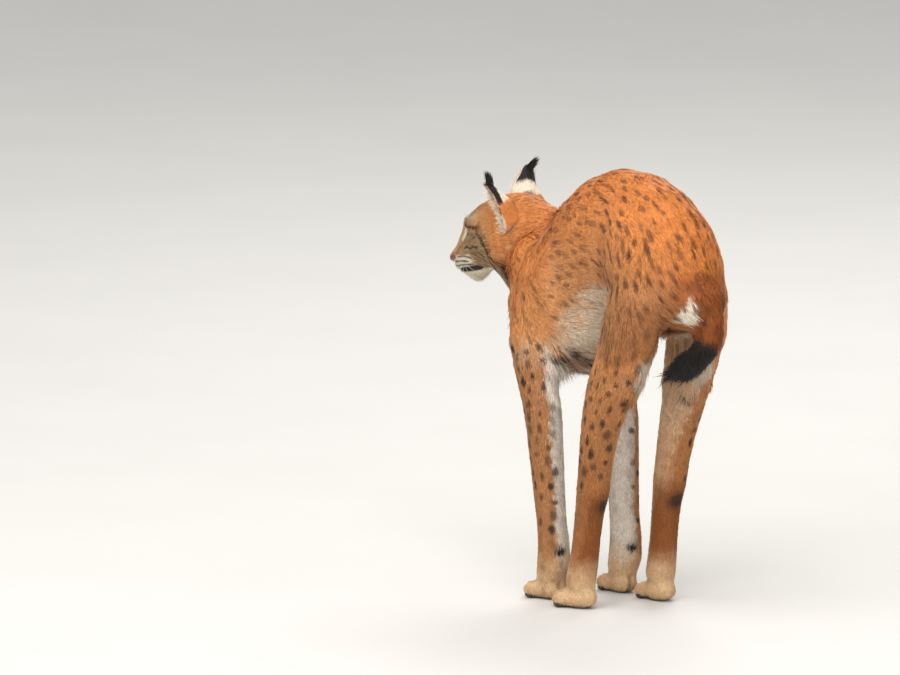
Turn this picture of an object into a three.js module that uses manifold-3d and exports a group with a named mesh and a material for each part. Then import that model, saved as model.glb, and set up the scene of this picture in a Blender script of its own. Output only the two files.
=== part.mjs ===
// Eurasian lynx, life size, standing with its feet drawn together, back arched high and head turned left.
// Millimetres, +Z up, +Y the way the body faces, +X the animal's right, origin on the floor under its middle.
import * as THREE from 'three';
import { mergeVertices } from 'three/addons/utils/BufferGeometryUtils.js';
import Module from 'manifold-3d';

const wasm = await Module();
wasm.setup();

// Driving dimensions
const seam = 0.3; // gap between two parts that touch
const growth = 0.45; // how far a part is swollen before it cuts its neighbour
const lockRoom = 0.5; // how much larger each way is the room that a neighbour leaves for a lock
const middle = new THREE.Vector3(-1, -1, 0); // the box's middle as first laid out, moved to the origin

// Trunk, from rump to chest: centre, half width, reach to the back and reach to the belly
const trunk = [
  { at: [0, -292, 532], wide: 56, over: 48, under: 60 },
  { at: [0, -240, 552], wide: 86, over: 103, under: 88 },
  { at: [0, -170, 578], wide: 99, over: 140, under: 112 },
  { at: [0, -95, 590], wide: 103, over: 149, under: 138 },
  { at: [0, -20, 570], wide: 101, over: 134, under: 166 },
  { at: [0, 50, 528], wide: 96, over: 96, under: 180 },
  { at: [0, 110, 492], wide: 88, over: 84, under: 144 },
  { at: [0, 165, 470], wide: 68, over: 70, under: 94 },
];
const neck = [
  { at: [0, 80, 508], wide: 74, over: 84, under: 86 },
  { at: [0, 140, 535], wide: 70, over: 76, under: 80 },
  { at: [0, 190, 558], wide: 65, over: 67, under: 72 },
  { at: [-8, 226, 572], wide: 54, over: 52, under: 58 },
];
const tail = [
  { at: [0, -285, 560], wide: 30, over: 30, under: 30 },
  { at: [4, -314, 525], wide: 27, over: 27, under: 27 },
  { at: [5, -316, 488], wide: 27, over: 27, under: 27 },
  { at: [1, -296, 454], wide: 29, over: 29, under: 29 },
  { at: [-4, -258, 427], wide: 27, over: 27, under: 27 },
  { at: [-7, -226, 410], wide: 18, over: 18, under: 18 },
];

// Legs, from the top down, on the right side: centre, half width, reach to the front and reach to the back
const foreleg = [
  { at: [46, 84, 578], wide: 24, over: 34, under: 40 },
  { at: [58, 94, 515], wide: 35, over: 54, under: 62 },
  { at: [66, 98, 445], wide: 38, over: 58, under: 64 },
  { at: [72, 78, 380], wide: 37, over: 48, under: 56 },
  { at: [75, 54, 320], wide: 34, over: 39, under: 52 },
  { at: [74, 42, 258], wide: 33, over: 36, under: 39 },
  { at: [72, 34, 180], wide: 30, over: 32, under: 33 },
  { at: [70, 27, 115], wide: 28, over: 29, under: 30 },
  { at: [69, 24, 74], wide: 30, over: 31, under: 35 },
  { at: [68, 32, 36], wide: 28, over: 28, under: 28 },
];
const hindleg = [
  { at: [54, -200, 585], wide: 36, over: 55, under: 46 },
  { at: [60, -200, 520], wide: 47, over: 90, under: 72 },
  { at: [70, -174, 440], wide: 46, over: 80, under: 62 },
  { at: [75, -143, 372], wide: 42, over: 58, under: 52 },
  { at: [75, -122, 315], wide: 37, over: 46, under: 46 },
  { at: [73, -106, 255], wide: 32, over: 36, under: 37 },
  { at: [71, -94, 205], wide: 30, over: 32, under: 41 },
  { at: [71, -84, 150], wide: 27, over: 28, under: 29 },
  { at: [71, -76, 90], wide: 27, over: 27, under: 27 },
  { at: [72, -66, 40], wide: 28, over: 28, under: 27 },
];
const stance = {
  // where each paw stands, how its leg is shifted to meet it, and how far its toes turn out
  foreleg_left: { side: -1, shift: [0, 2, 0], turn: 8 },
  foreleg_right: { side: 1, shift: [-6, -18, 0], turn: 4 },
  hindleg_left: { side: -1, shift: [-3, 8, 0], turn: 14 },
  hindleg_right: { side: 1, shift: [0, -14, 0], turn: 6 },
};
const wristHeight = 88; // foreleg cut between forearm and paw
const elbowCut = { height: 318, back: 58 };
const kneeCut = { height: 345, back: -140 };
const hockHeight = 190;

// Head, in its own frame: +Y to the nose, +Z to the crown
const headPlace = { at: [0, 238, 577], turn: 27, nod: -13, roll: -5 };
const skull = [
  { at: [0, -64, -2], wide: 50, over: 42, under: 46 },
  { at: [0, -36, 0], wide: 63, over: 58, under: 62 },
  { at: [0, -4, 2], wide: 67, over: 62, under: 68 },
  { at: [0, 28, 0], wide: 63, over: 56, under: 68 },
  { at: [0, 54, -6], wide: 48, over: 41, under: 58 },
  { at: [0, 76, -16], wide: 34, over: 28, under: 46 },
  { at: [0, 96, -24], wide: 30, over: 22, under: 37 },
  { at: [0, 106, -28], wide: 22, over: 15, under: 27 },
];
// Soft swellings and hollows of the head: centre, reach and how far the surface moves, a pair where x isn't 0
const swellings = [
  { name: 'crown', at: [0, -8, 66], reach: [34, 40, 20], push: [0, 0, 4] },
  { name: 'forehead', at: [0, 36, 56], reach: [46, 26, 24], push: [0, 5, 5] },
  { name: 'brow', at: [27, 52, 40], reach: [18, 18, 14], push: [3, 10, 5] },
  { name: 'eye socket', at: [36, 60, 20], reach: [13, 15, 11], push: [-5, -4, 0] },
  { name: 'stop', at: [0, 68, 30], reach: [14, 14, 12], push: [0, 1, -1] },
  { name: 'cheek', at: [62, 8, -22], reach: [26, 34, 30], push: [12, 0, -3] },
  { name: 'jaw', at: [44, 14, -62], reach: [26, 34, 20], push: [5, 0, -6] },
  { name: 'muzzle bridge', at: [0, 88, 6], reach: [15, 26, 12], push: [0, 0, 9] },
  { name: 'whisker pad', at: [24, 98, -38], reach: [15, 20, 15], push: [8, 3, -2] },
  { name: 'lip line', at: [32, 86, -52], reach: [14, 22, 8], push: [-4, 0, 1] },
  { name: 'chin', at: [0, 96, -62], reach: [19, 22, 14], push: [0, 5, -14] },
  { name: 'throat', at: [0, 44, -76], reach: [30, 20, 18], push: [0, 0, 9] },
];
// Eyeball, and the almond opening between its lids
const eye = { at: [32, 53, 20], radius: 13, lid: 2.6, turn: 26, slant: 18, wide: 12.5, high: 7 };
const nose = { at: [0, 108, -20], radii: [16, 13, 12] };
const nostril = { at: [7, 120, -21], radii: [2.6, 7, 3.2] };
const mouth = { front: 124, back: 58, high: -38, low: -48, thick: 1.6, deep: 4 };
const ear = {
  at: [42, -12, 32], height: 70, radius: 32, thick: 3.4,
  lean: 12, nod: -20, turn: 30, tip: -4, span: 100,
};

// Paws, in their own frame: +Y to the toes
const paw = {
  palm: { at: [0, 2, 18], radii: [28, 38, 23] },
  toes: { across: [-22, -8, 8, 22], ahead: [28, 38, 38, 28], high: 14, radii: [12.5, 19, 16] },
};

// Long hair, as patches of flat locks. A patch runs from one share of its node's length and angle round it to
// another, angles counted from the right side over the back, and lies along a direction of the body.
const throatLocks = {
  from: [0.2, 232], to: [0.8, 308], rows: 3, across: 4, lie: [0, -0.4, -0.9], seed: 11,
  length: 38, wide: 24, thick: 6, stand: 14,
};
const bellyLocks = {
  from: [0.4, 240], to: [0.86, 300], rows: 5, across: 3, lie: [0, -1, -0.5], seed: 23,
  length: 42, wide: 36, thick: 8, stand: 14,
};
const elbowLocks = {
  from: [0.31, 246], to: [0.42, 294], rows: 2, across: 3, lie: [0, -0.2, -1], seed: 31,
  length: 44, wide: 18, thick: 6, stand: 13,
};
const trouserLocks = {
  from: [0.2, 250], to: [0.33, 296], rows: 3, across: 2, lie: [0, -0.1, -1], seed: 47,
  length: 52, wide: 30, thick: 7, stand: 9,
};
const tailLocks = {
  from: [0.45, 30], to: [0.96, 330], rows: 3, across: 4, lie: [0, 0, 0], follow: 1, seed: 59,
  length: 36, wide: 22, thick: 6, stand: 5,
};
const ruffLocks = {
  from: [0.46, 340], to: [0.24, 284], rows: 2, across: 5, lie: [0.3, -0.8, -0.6], seed: 71,
  length: 38, wide: 24, thick: 6, stand: 12,
};
// Tuft at each ear's tip, drawn back and to the animal's right as if the air stirred it
const earTuft = {
  count: 3, length: 26, wide: 9, thick: 4, fan: 7,
  lean: { left: [2, -48, 36], right: [74, -56, 22] },
};
// Hair of the front rim, which crosses the cup
const earHair = { count: 3, length: 28, wide: 10, thick: 3, along: [0.55, 0.1, 0.85], edge: 0.9 };

const colours = {
  coat: new THREE.MeshStandardMaterial({ color: 0xb9743a, roughness: 0.85 }),
  pale: new THREE.MeshStandardMaterial({ color: 0xcdb08c, roughness: 0.85 }),
  black: new THREE.MeshStandardMaterial({ color: 0x1b1714, roughness: 0.8 }),
  ear: new THREE.MeshStandardMaterial({ color: 0x3a3330, roughness: 0.85 }),
  nose: new THREE.MeshStandardMaterial({ color: 0x8c4a3c, roughness: 0.5 }),
  eye: new THREE.MeshStandardMaterial({ color: 0xb58a32, roughness: 0.1 }),
};

// A mesh geometry as a solid, whichever way round its faces run
function solidFrom(geometry) {
  const bare = geometry.index ? geometry.toNonIndexed() : geometry.clone();
  for (const name of Object.keys(bare.attributes)) if (name !== 'position') bare.deleteAttribute(name);
  const merged = mergeVertices(bare, 1e-3);
  const vertProperties = new Float32Array(merged.attributes.position.array);
  const corners = Array.from(merged.index.array);
  const triVerts = [];
  for (let i = 0; i < corners.length; i += 3) {
    const [a, b, c] = corners.slice(i, i + 3);
    if (a !== b && b !== c && a !== c) triVerts.push(a, b, c);
  }
  const make = (list) =>
    new wasm.Manifold(new wasm.Mesh({ numProp: 3, vertProperties, triVerts: new Uint32Array(list) }));
  const made = make(triVerts);
  if (made.volume() > 0) return made;
  const turned = [];
  for (let i = 0; i < triVerts.length; i += 3) turned.push(triVerts[i], triVerts[i + 2], triVerts[i + 1]);
  return make(turned);
}

// A solid back as a geometry with flat faces
function geometryFrom(solid) {
  const mesh = solid.getMesh();
  const geometry = new THREE.BufferGeometry();
  geometry.setAttribute('position', new THREE.BufferAttribute(new Float32Array(mesh.vertProperties), 3));
  geometry.setIndex(new THREE.BufferAttribute(new Uint32Array(mesh.triVerts), 1));
  return geometry;
}

// The same solid with every vertex moved out along its normal, or in where amount is negative
function grown(solid, amount = growth) {
  const geometry = geometryFrom(solid);
  geometry.computeVertexNormals();
  const place = geometry.attributes.position;
  const normal = geometry.attributes.normal;
  for (let i = 0; i < place.count; i++) {
    place.setXYZ(
      i,
      place.getX(i) + amount * normal.getX(i),
      place.getY(i) + amount * normal.getY(i),
      place.getZ(i) + amount * normal.getZ(i),
    );
  }
  return solidFrom(geometry);
}

function largest(solid) {
  return solid.decompose().sort((a, b) => b.volume() - a.volume())[0];
}

// A point moved by the soft swellings and hollows near it
function swollenPoint(point, bumps) {
  const moved = point.clone();
  for (const { at, reach, push } of bumps) {
    for (const side of at[0] === 0 ? [1] : [-1, 1]) {
      const distance = Math.hypot(
        (point.x - side * at[0]) / reach[0], (point.y - at[1]) / reach[1], (point.z - at[2]) / reach[2],
      );
      const share = Math.exp(-distance * distance);
      moved.add(new THREE.Vector3(side * push[0], push[1], push[2]).multiplyScalar(share));
    }
  }
  return moved;
}

function swollen(solid, bumps) {
  const geometry = geometryFrom(solid);
  const place = geometry.attributes.position;
  for (let i = 0; i < place.count; i++) {
    const moved = swollenPoint(new THREE.Vector3().fromBufferAttribute(place, i), bumps);
    place.setXYZ(i, moved.x, moved.y, moved.z);
  }
  return solidFrom(geometry);
}

// The smooth surface through stations: a point of it for a share of the length and an angle round it
function profileOf(stations) {
  const smooth = (vectors) => new THREE.CatmullRomCurve3(vectors, false, 'catmullrom', 0.5);
  const line = smooth(stations.map((s) => new THREE.Vector3(...s.at)));
  const reach = smooth(stations.map((s) => new THREE.Vector3(s.wide, s.over, s.under)));
  const pointAt = (t, angle, shrink = 1, slide = 0) => {
    const along = line.getTangent(t);
    const side = new THREE.Vector3(1, 0, 0).addScaledVector(along, -along.x).normalize();
    const over = side.clone().cross(along);
    const size = reach.getPoint(t);
    const rise = Math.sin(angle) > 0 ? size.y : size.z;
    return line.getPoint(t)
      .addScaledVector(along, slide)
      .addScaledVector(side, shrink * size.x * Math.cos(angle))
      .addScaledVector(over, shrink * rise * Math.sin(angle));
  };
  return { line, reach, pointAt };
}

// A closed body lofted through stations along a smooth curve, with rounded ends
function loft(stations, { sides = 16, rings = 16, capStart = 0.6, capEnd = 0.6 } = {}) {
  const { line, reach, pointAt } = profileOf(stations);
  const points = [];
  const addRing = (t, shrink, slide) => {
    for (let k = 0; k < sides; k++) points.push(pointAt(t, (2 * Math.PI * k) / sides, shrink, slide));
  };
  const meanReach = (t) => (reach.getPoint(t).y + reach.getPoint(t).z) / 2;
  const capSteps = [0.85, 0.5];
  const capHeight = (shrink) => Math.sqrt(1 - shrink * shrink);
  const startDepth = meanReach(0) * capStart;
  const endDepth = meanReach(1) * capEnd;
  for (const shrink of [...capSteps].reverse()) addRing(0, shrink, -startDepth * capHeight(shrink));
  for (let i = 0; i <= rings; i++) addRing(i / rings, 1, 0);
  for (const shrink of capSteps) addRing(1, shrink, endDepth * capHeight(shrink));
  const ringCount = rings + 1 + 2 * capSteps.length;
  const start = line.getPoint(0).addScaledVector(line.getTangent(0), -startDepth);
  const end = line.getPoint(1).addScaledVector(line.getTangent(1), endDepth);
  points.push(start, end);
  return solidFrom(tubeGeometry(points, ringCount, sides));
}

// The triangles of a stack of rings, closed by the last two points, which are its two poles
function tubeGeometry(points, ringCount, sides) {
  const index = [];
  const startPole = ringCount * sides;
  const endPole = startPole + 1;
  for (let k = 0; k < sides; k++) {
    const next = (k + 1) % sides;
    for (let r = 0; r < ringCount - 1; r++) {
      const a = r * sides + k;
      const b = r * sides + next;
      index.push(a, b, a + sides, b, b + sides, a + sides);
    }
    const last = (ringCount - 1) * sides;
    index.push(startPole, next, k, endPole, last + k, last + next);
  }
  const geometry = new THREE.BufferGeometry().setFromPoints(points);
  geometry.setIndex(index);
  return geometry;
}

function ellipsoid({ at, radii }, side = 1, across = 14, around = 10) {
  const geometry = new THREE.SphereGeometry(1, across, around);
  geometry.rotateX(Math.PI / 2);
  geometry.scale(...radii);
  geometry.translate(side * at[0], at[1], at[2]);
  return solidFrom(geometry);
}

function boxSolid(size, place) {
  return solidFrom(new THREE.BoxGeometry(...size).applyMatrix4(place));
}

function placed(solid, matrix) {
  return solidFrom(geometryFrom(solid).applyMatrix4(matrix));
}

function matrixOf({ at = [0, 0, 0], turn = 0, nod = 0, roll = 0 }) {
  const angles = [nod, roll, turn].map(THREE.MathUtils.degToRad);
  return new THREE.Matrix4()
    .makeRotationFromEuler(new THREE.Euler(...angles, 'ZXY'))
    .setPosition(...at);
}

function named(name, solid, material) {
  const mesh = new THREE.Mesh(geometryFrom(solid), material);
  mesh.name = name;
  return mesh;
}

// A repeatable run of random numbers from -1 to 1
function randomRun(seed) {
  let state = seed;
  return () => {
    state = (state * 1664525 + 1013904223) % 4294967296;
    return (2 * state) / 4294967296 - 1;
  };
}

// One flat lock that tapers and bends from a root sunk in the surface to its tip
function lockSolid({ point, normal, along }, size, room = 0) {
  const { length, wide, thick, sink = 7, lift = 5, stand = 6 } = size;
  const start = point.clone().addScaledVector(normal, -sink).addScaledVector(along, -0.4 * sink);
  const bow = point.clone().addScaledVector(normal, lift).addScaledVector(along, 0.5 * length);
  const tip = point.clone().addScaledVector(normal, stand).addScaledVector(along, length);
  const spine = new THREE.QuadraticBezierCurve3(start, bow, tip);
  const side = new THREE.Vector3().crossVectors(along, normal).normalize();
  const sections = [{ share: 0.02, swell: 0.85 }, { share: 0.38, swell: 1 }, { share: 0.72, swell: 0.66 }];
  const points = sections.flatMap(({ share, swell }) => {
    const centre = spine.getPoint(share);
    const rise = side.clone().cross(spine.getTangent(share)).multiplyScalar((swell * thick) / 2 + room);
    const reach = side.clone().multiplyScalar((swell * wide) / 2 + room);
    const offsets = [reach, rise, reach.clone().negate(), rise.clone().negate()];
    return offsets.map((offset) => centre.clone().add(offset));
  });
  start.addScaledVector(spine.getTangent(0), -room);
  tip.addScaledVector(spine.getTangent(1), 4 * room);
  return solidFrom(tubeGeometry([...points, start, tip], sections.length, 4));
}

// A lock, and the slightly larger room that a neighbour leaves for it
function lockWithRoom(root, size) {
  return { lock: lockSolid(root, size), room: lockSolid(root, size, lockRoom) };
}

// A patch of locks set in rows on a smooth surface, each lying the way the coat does there
function lockPatch(pointAt, { from, to, rows, across, lie, follow = 0, seed, vary = 0.16, ...size }) {
  const draw = randomRun(seed);
  const lieWay = new THREE.Vector3(...lie);
  const locks = [];
  for (let i = 0; i < rows; i++) {
    for (let j = 0; j < across; j++) {
      const stagger = i % 2 ? 0.5 : 0;
      const t = THREE.MathUtils.lerp(from[0], to[0], rows === 1 ? 0.5 : i / (rows - 1)) + 0.006 * draw();
      const share = across === 1 ? 0.5 : (j + stagger) / (across - 1 + 0.5);
      const angle = THREE.MathUtils.degToRad(THREE.MathUtils.lerp(from[1], to[1], share) + 2 * draw());
      const point = pointAt(t, angle);
      const step = 0.01;
      const lengthwise = pointAt(t + step, angle).sub(pointAt(t - step, angle));
      const round = pointAt(t, angle + step).sub(pointAt(t, angle - step));
      const normal = round.cross(lengthwise).normalize();
      if (normal.dot(point.clone().sub(pointAt(t, angle, 0.5))) < 0) normal.negate();
      const along = lieWay.clone().addScaledVector(lengthwise.normalize(), follow);
      along.addScaledVector(normal, -along.dot(normal)).normalize();
      const sway = new THREE.Vector3().crossVectors(normal, along).multiplyScalar(0.15 * draw());
      along.add(sway).normalize();
      locks.push(lockWithRoom({ point, normal, along }, {
        ...size,
        length: size.length * (1 + vary * draw()),
        wide: size.wide * (1 + 0.6 * vary * draw()),
      }));
    }
  }
  return locks;
}

// A core and the locks that grow from it as one closed body
function fused(core, locks) {
  return largest(wasm.Manifold.union([core, ...locks.map(({ lock }) => lock)]));
}

// The space that a core and its locks take from a neighbour
function clearance(core, locks) {
  return wasm.Manifold.union([grown(core), ...locks.map(({ room }) => room)]);
}

// Splits an upright limb at the given cuts, highest first, leaving a seam at each
function splitLimb(limb, cuts) {
  let rest = limb;
  for (const cut of cuts) {
    const slab = matrixOf({ at: [0, cut.back ?? 0, cut.height], nod: cut.tilt ?? 0 });
    rest = rest.subtract(boxSolid([600, 600, seam], slab));
  }
  return rest.decompose().sort((a, b) => b.boundingBox().max[2] - a.boundingBox().max[2]);
}

// Paw of a palm and four toes
function pawSolid() {
  const { palm, toes } = paw;
  let solid = ellipsoid(palm, 1, 8, 6);
  toes.across.forEach((x, i) => {
    solid = solid.add(ellipsoid({ at: [x, toes.ahead[i], toes.high], radii: toes.radii }, 1, 6, 5));
  });
  return solid;
}

// Whole leg with its paw, standing at its stance
function legSolid(name, stations) {
  const { side, shift, turn } = stance[name];
  const moved = stations.map((s) => {
    const lowness = 1 - s.at[2] / stations[0].at[2];
    return { ...s, at: [side * s.at[0] + shift[0] * lowness, s.at[1] + shift[1] * lowness, s.at[2]] };
  });
  const foot = moved[moved.length - 1].at;
  const pawPlace = matrixOf({ at: [foot[0], foot[1], 0], turn: -side * turn });
  const leg = loft(moved, { sides: 12, rings: 12, capEnd: 0.3 }).add(placed(pawSolid(), pawPlace));
  const floor = boxSolid([400, 400, 100], matrixOf({ at: [foot[0], foot[1], -50] }));
  return { whole: leg.subtract(floor), pointAt: profileOf(moved).pointAt };
}

// A curved sheet of even thickness, the same triangles on both faces
function sheetSolid(outer, inner, rows, columns) {
  const points = [];
  for (const face of [outer, inner]) {
    for (let i = 0; i <= rows; i++) {
      for (let j = 0; j <= columns; j++) points.push(face(i / rows, (2 * j) / columns - 1));
    }
  }
  const width = columns + 1;
  const half = width * (rows + 1);
  const index = [];
  const quad = (a, b, c, d) => index.push(a, b, c, a, c, d);
  for (let i = 0; i < rows; i++) {
    for (let j = 0; j < columns; j++) {
      const a = i * width + j;
      quad(a, a + 1, a + width + 1, a + width);
      const b = half + a;
      quad(b, b + width, b + width + 1, b + 1);
    }
    const left = i * width;
    const right = left + columns;
    quad(left, left + width, half + left + width, half + left);
    quad(right, half + right, half + right + width, right + width);
  }
  for (let j = 0; j < columns; j++) {
    const top = rows * width + j;
    quad(j, half + j, half + j + 1, j + 1);
    quad(top, top + 1, half + top + 1, half + top);
  }
  const geometry = new THREE.BufferGeometry().setFromPoints(points);
  geometry.setIndex(index);
  return solidFrom(geometry);
}

// Upright cupped ear, open to the front and a little outward
function earSolid(side) {
  const facePoint = (thickness) => (s, v) => {
    const spread = THREE.MathUtils.degToRad(ear.span * (1 - 0.35 * s)) * v;
    const radius = ear.radius * Math.pow(1 - 0.94 * s, 0.72) - thickness;
    const back = ear.tip * s * s;
    return new THREE.Vector3(radius * Math.sin(spread), -radius * Math.cos(spread) + back, ear.height * s);
  };
  const shell = sheetSolid(facePoint(0), facePoint(ear.thick * 0.6), 6, 8);
  const tip = facePoint(0)(1, 0);
  const [out, back, rise] = earTuft.lean[side < 0 ? 'left' : 'right'];
  const locks = [];
  for (let i = 0; i < earTuft.count; i++) {
    const fan = earTuft.fan * (i - (earTuft.count - 1) / 2);
    const along = new THREE.Vector3(side * out + fan, back, rise).normalize();
    const normal = new THREE.Vector3(0, -1, 0).addScaledVector(along, along.y).normalize();
    locks.push(lockWithRoom({ point: tip, normal, along }, { ...earTuft, sink: 2, lift: 1, stand: 0 }));
  }
  for (let i = 0; i < earHair.count; i++) {
    const share = 0.14 + (0.5 * i) / (earHair.count - 1);
    const point = facePoint(ear.thick * 0.3)(share, -side * earHair.edge);
    const [across, ahead, up] = earHair.along;
    const along = new THREE.Vector3(side * across, ahead, up).normalize();
    const normal = new THREE.Vector3(0, 1, 0).addScaledVector(along, -along.y).normalize();
    locks.push(lockWithRoom({ point, normal, along }, { ...earHair, sink: 1.5, lift: 2, stand: 2 }));
  }
  const place = matrixOf({
    at: [side * ear.at[0], ear.at[1], ear.at[2]],
    turn: -side * ear.turn,
    nod: ear.nod,
    roll: side * ear.lean,
  });
  return placed(fused(shell, locks), place);
}

function eyeSolid(side, extra = 0) {
  const ball = new THREE.SphereGeometry(eye.radius + extra, 12, 8);
  ball.translate(side * eye.at[0], eye.at[1], eye.at[2]);
  return solidFrom(ball);
}

// Opening between the lids, pushed out along the line of sight
function lidOpening(side) {
  const almond = new THREE.Shape();
  almond.moveTo(-eye.wide, 0);
  almond.quadraticCurveTo(0, 2 * eye.high, eye.wide, 0);
  almond.quadraticCurveTo(0, -2 * eye.high, -eye.wide, 0);
  const prism = new THREE.ExtrudeGeometry(almond, { depth: 40, bevelEnabled: false, curveSegments: 6 });
  prism.rotateZ(THREE.MathUtils.degToRad(side * eye.slant));
  prism.rotateX(-Math.PI / 2);
  return placed(
    solidFrom(prism),
    matrixOf({ at: [side * eye.at[0], eye.at[1], eye.at[2]], turn: -side * eye.turn }),
  );
}

// Groove between the lips, cut only skin deep
function mouthGroove(body) {
  const lip = new THREE.CatmullRomCurve3([
    new THREE.Vector3(0, mouth.back, mouth.low + 4),
    new THREE.Vector3(0, (mouth.back + mouth.front) / 2, mouth.low),
    new THREE.Vector3(0, mouth.front, mouth.high),
  ]);
  const upper = lip.getPoints(8).map((p) => new THREE.Vector2(p.y, p.z + mouth.thick / 2));
  const lower = lip.getPoints(8).map((p) => new THREE.Vector2(p.y, p.z - mouth.thick / 2)).reverse();
  const across = 120;
  const slit = new THREE.ExtrudeGeometry(new THREE.Shape([...upper, ...lower]), {
    depth: across,
    bevelEnabled: false,
  });
  const stand = new THREE.Matrix4().makeBasis(
    new THREE.Vector3(0, 1, 0), new THREE.Vector3(0, 0, 1), new THREE.Vector3(1, 0, 0),
  );
  slit.translate(0, 0, -across / 2).applyMatrix4(stand);
  return solidFrom(slit).subtract(grown(body, -mouth.deep));
}

function headParts() {
  let head = swollen(loft(skull, { sides: 18, rings: 17, capStart: 0.5, capEnd: 0.5 }), swellings);
  for (const side of [-1, 1]) head = head.add(eyeSolid(side, eye.lid));
  head = head.subtract(mouthGroove(head));
  const nosePad = ellipsoid(nose, 1, 10, 7);
  head = head.subtract(grown(nosePad));
  for (const side of [-1, 1]) head = head.subtract(lidOpening(side)).subtract(eyeSolid(side, growth));
  let noseTip = nosePad;
  for (const side of [-1, 1]) noseTip = noseTip.subtract(ellipsoid(nostril, side, 8, 6));
  const ears = [-1, 1].map((side) => largest(earSolid(side).subtract(grown(head))));
  const { pointAt } = profileOf(skull);
  const cheekPoint = (mirror) => (t, angle) => {
    const point = swollenPoint(pointAt(t, angle), swellings);
    return mirror ? point.setX(-point.x) : point;
  };
  const [across, ahead, up] = ruffLocks.lie;
  const ruff = [
    ...lockPatch(cheekPoint(false), ruffLocks),
    ...lockPatch(cheekPoint(true), { ...ruffLocks, lie: [-across, ahead, up], seed: ruffLocks.seed + 1 }),
  ];
  return {
    head: fused(head, ruff),
    headClearance: clearance(head, ruff),
    nose: largest(noseTip),
    ears,
    eyes: [eyeSolid(-1), eyeSolid(1)],
  };
}

// Builds the animal
const lynx = new THREE.Group();
lynx.position.copy(middle).negate();

const headGroup = new THREE.Group();
const headMatrix = matrixOf(headPlace);
headGroup.applyMatrix4(headMatrix);
const parts = headParts();
headGroup.add(named('head', parts.head, colours.coat));
headGroup.add(named('nose', parts.nose, colours.nose));
['left', 'right'].forEach((name, i) => {
  headGroup.add(named(`ear_${name}`, parts.ears[i], colours.ear));
  headGroup.add(named(`eye_${name}`, parts.eyes[i], colours.eye));
});
lynx.add(headGroup);

const neckPlain = loft(neck, { sides: 14, rings: 5, capEnd: 0.35 });
const throat = lockPatch(profileOf(neck).pointAt, throatLocks);
const tailPlain = loft(tail, { sides: 10, rings: 11, capStart: 0.3, capEnd: 0.8 });
const tailHair = lockPatch(profileOf(tail).pointAt, tailLocks);
const headClearance = placed(parts.headClearance, headMatrix);
let neckPart = fused(neckPlain, throat).subtract(headClearance);
let torso = fused(
  loft(trunk, { sides: 18, rings: 13, capStart: 0.7, capEnd: 0.55 }),
  lockPatch(profileOf(trunk).pointAt, bellyLocks),
);
const around = [clearance(neckPlain, throat), clearance(tailPlain, tailHair), headClearance];
for (const neighbour of around) torso = torso.subtract(neighbour);
for (const side of ['left', 'right']) {
  const fore = legSolid(`foreleg_${side}`, foreleg);
  const [shoulder, forearm, forepaw] = splitLimb(fore.whole, [elbowCut, { height: wristHeight }]);
  const elbowHair = lockPatch(fore.pointAt, elbowLocks);
  const hind = legSolid(`hindleg_${side}`, hindleg);
  const [thigh, shank, hindfoot] = splitLimb(hind.whole, [kneeCut, { height: hockHeight }]);
  const trousers = lockPatch(hind.pointAt, trouserLocks);
  torso = torso.subtract(clearance(shoulder, elbowHair)).subtract(clearance(thigh, trousers));
  neckPart = neckPart.subtract(grown(shoulder));
  const forearmClear = largest(forearm.subtract(clearance(shoulder, elbowHair)));
  const shankClear = largest(shank.subtract(clearance(thigh, trousers)));
  lynx.add(named(`upper_foreleg_${side}`, fused(shoulder, elbowHair), colours.coat));
  lynx.add(named(`forearm_${side}`, forearmClear, colours.coat));
  lynx.add(named(`forepaw_${side}`, forepaw, colours.pale));
  lynx.add(named(`thigh_${side}`, fused(thigh, trousers), colours.coat));
  lynx.add(named(`shank_${side}`, shankClear, colours.coat));
  lynx.add(named(`hind_foot_${side}`, hindfoot, colours.pale));
}
lynx.add(named('torso', largest(torso), colours.coat));
lynx.add(named('neck', largest(neckPart), colours.coat));
lynx.add(named('tail', fused(tailPlain, tailHair), colours.black));

export default lynx;
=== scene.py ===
# A life-size lynx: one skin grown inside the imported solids, and a coat of thin tufts over it
import math
import time
import bpy
import numpy as np
import openvdb as vdb
from mathutils import Matrix, Vector
from mathutils.kdtree import KDTree


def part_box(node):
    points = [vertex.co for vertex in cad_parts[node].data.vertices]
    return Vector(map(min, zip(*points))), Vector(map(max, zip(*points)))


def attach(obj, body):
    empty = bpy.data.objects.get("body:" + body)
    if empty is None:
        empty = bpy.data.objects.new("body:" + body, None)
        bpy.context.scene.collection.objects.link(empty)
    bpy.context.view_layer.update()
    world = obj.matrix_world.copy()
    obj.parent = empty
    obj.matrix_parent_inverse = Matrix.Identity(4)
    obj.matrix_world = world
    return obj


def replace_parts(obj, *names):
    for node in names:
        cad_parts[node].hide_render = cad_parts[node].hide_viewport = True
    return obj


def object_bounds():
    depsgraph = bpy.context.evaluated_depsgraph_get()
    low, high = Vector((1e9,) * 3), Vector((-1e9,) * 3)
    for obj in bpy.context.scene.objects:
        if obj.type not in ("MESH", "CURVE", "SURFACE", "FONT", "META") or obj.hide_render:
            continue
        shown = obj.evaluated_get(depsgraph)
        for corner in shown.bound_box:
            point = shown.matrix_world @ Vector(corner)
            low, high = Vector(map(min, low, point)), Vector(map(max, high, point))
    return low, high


started = time.time()


def report(stage):
    print(f"{time.time() - started:6.1f} s  {stage}")


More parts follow.
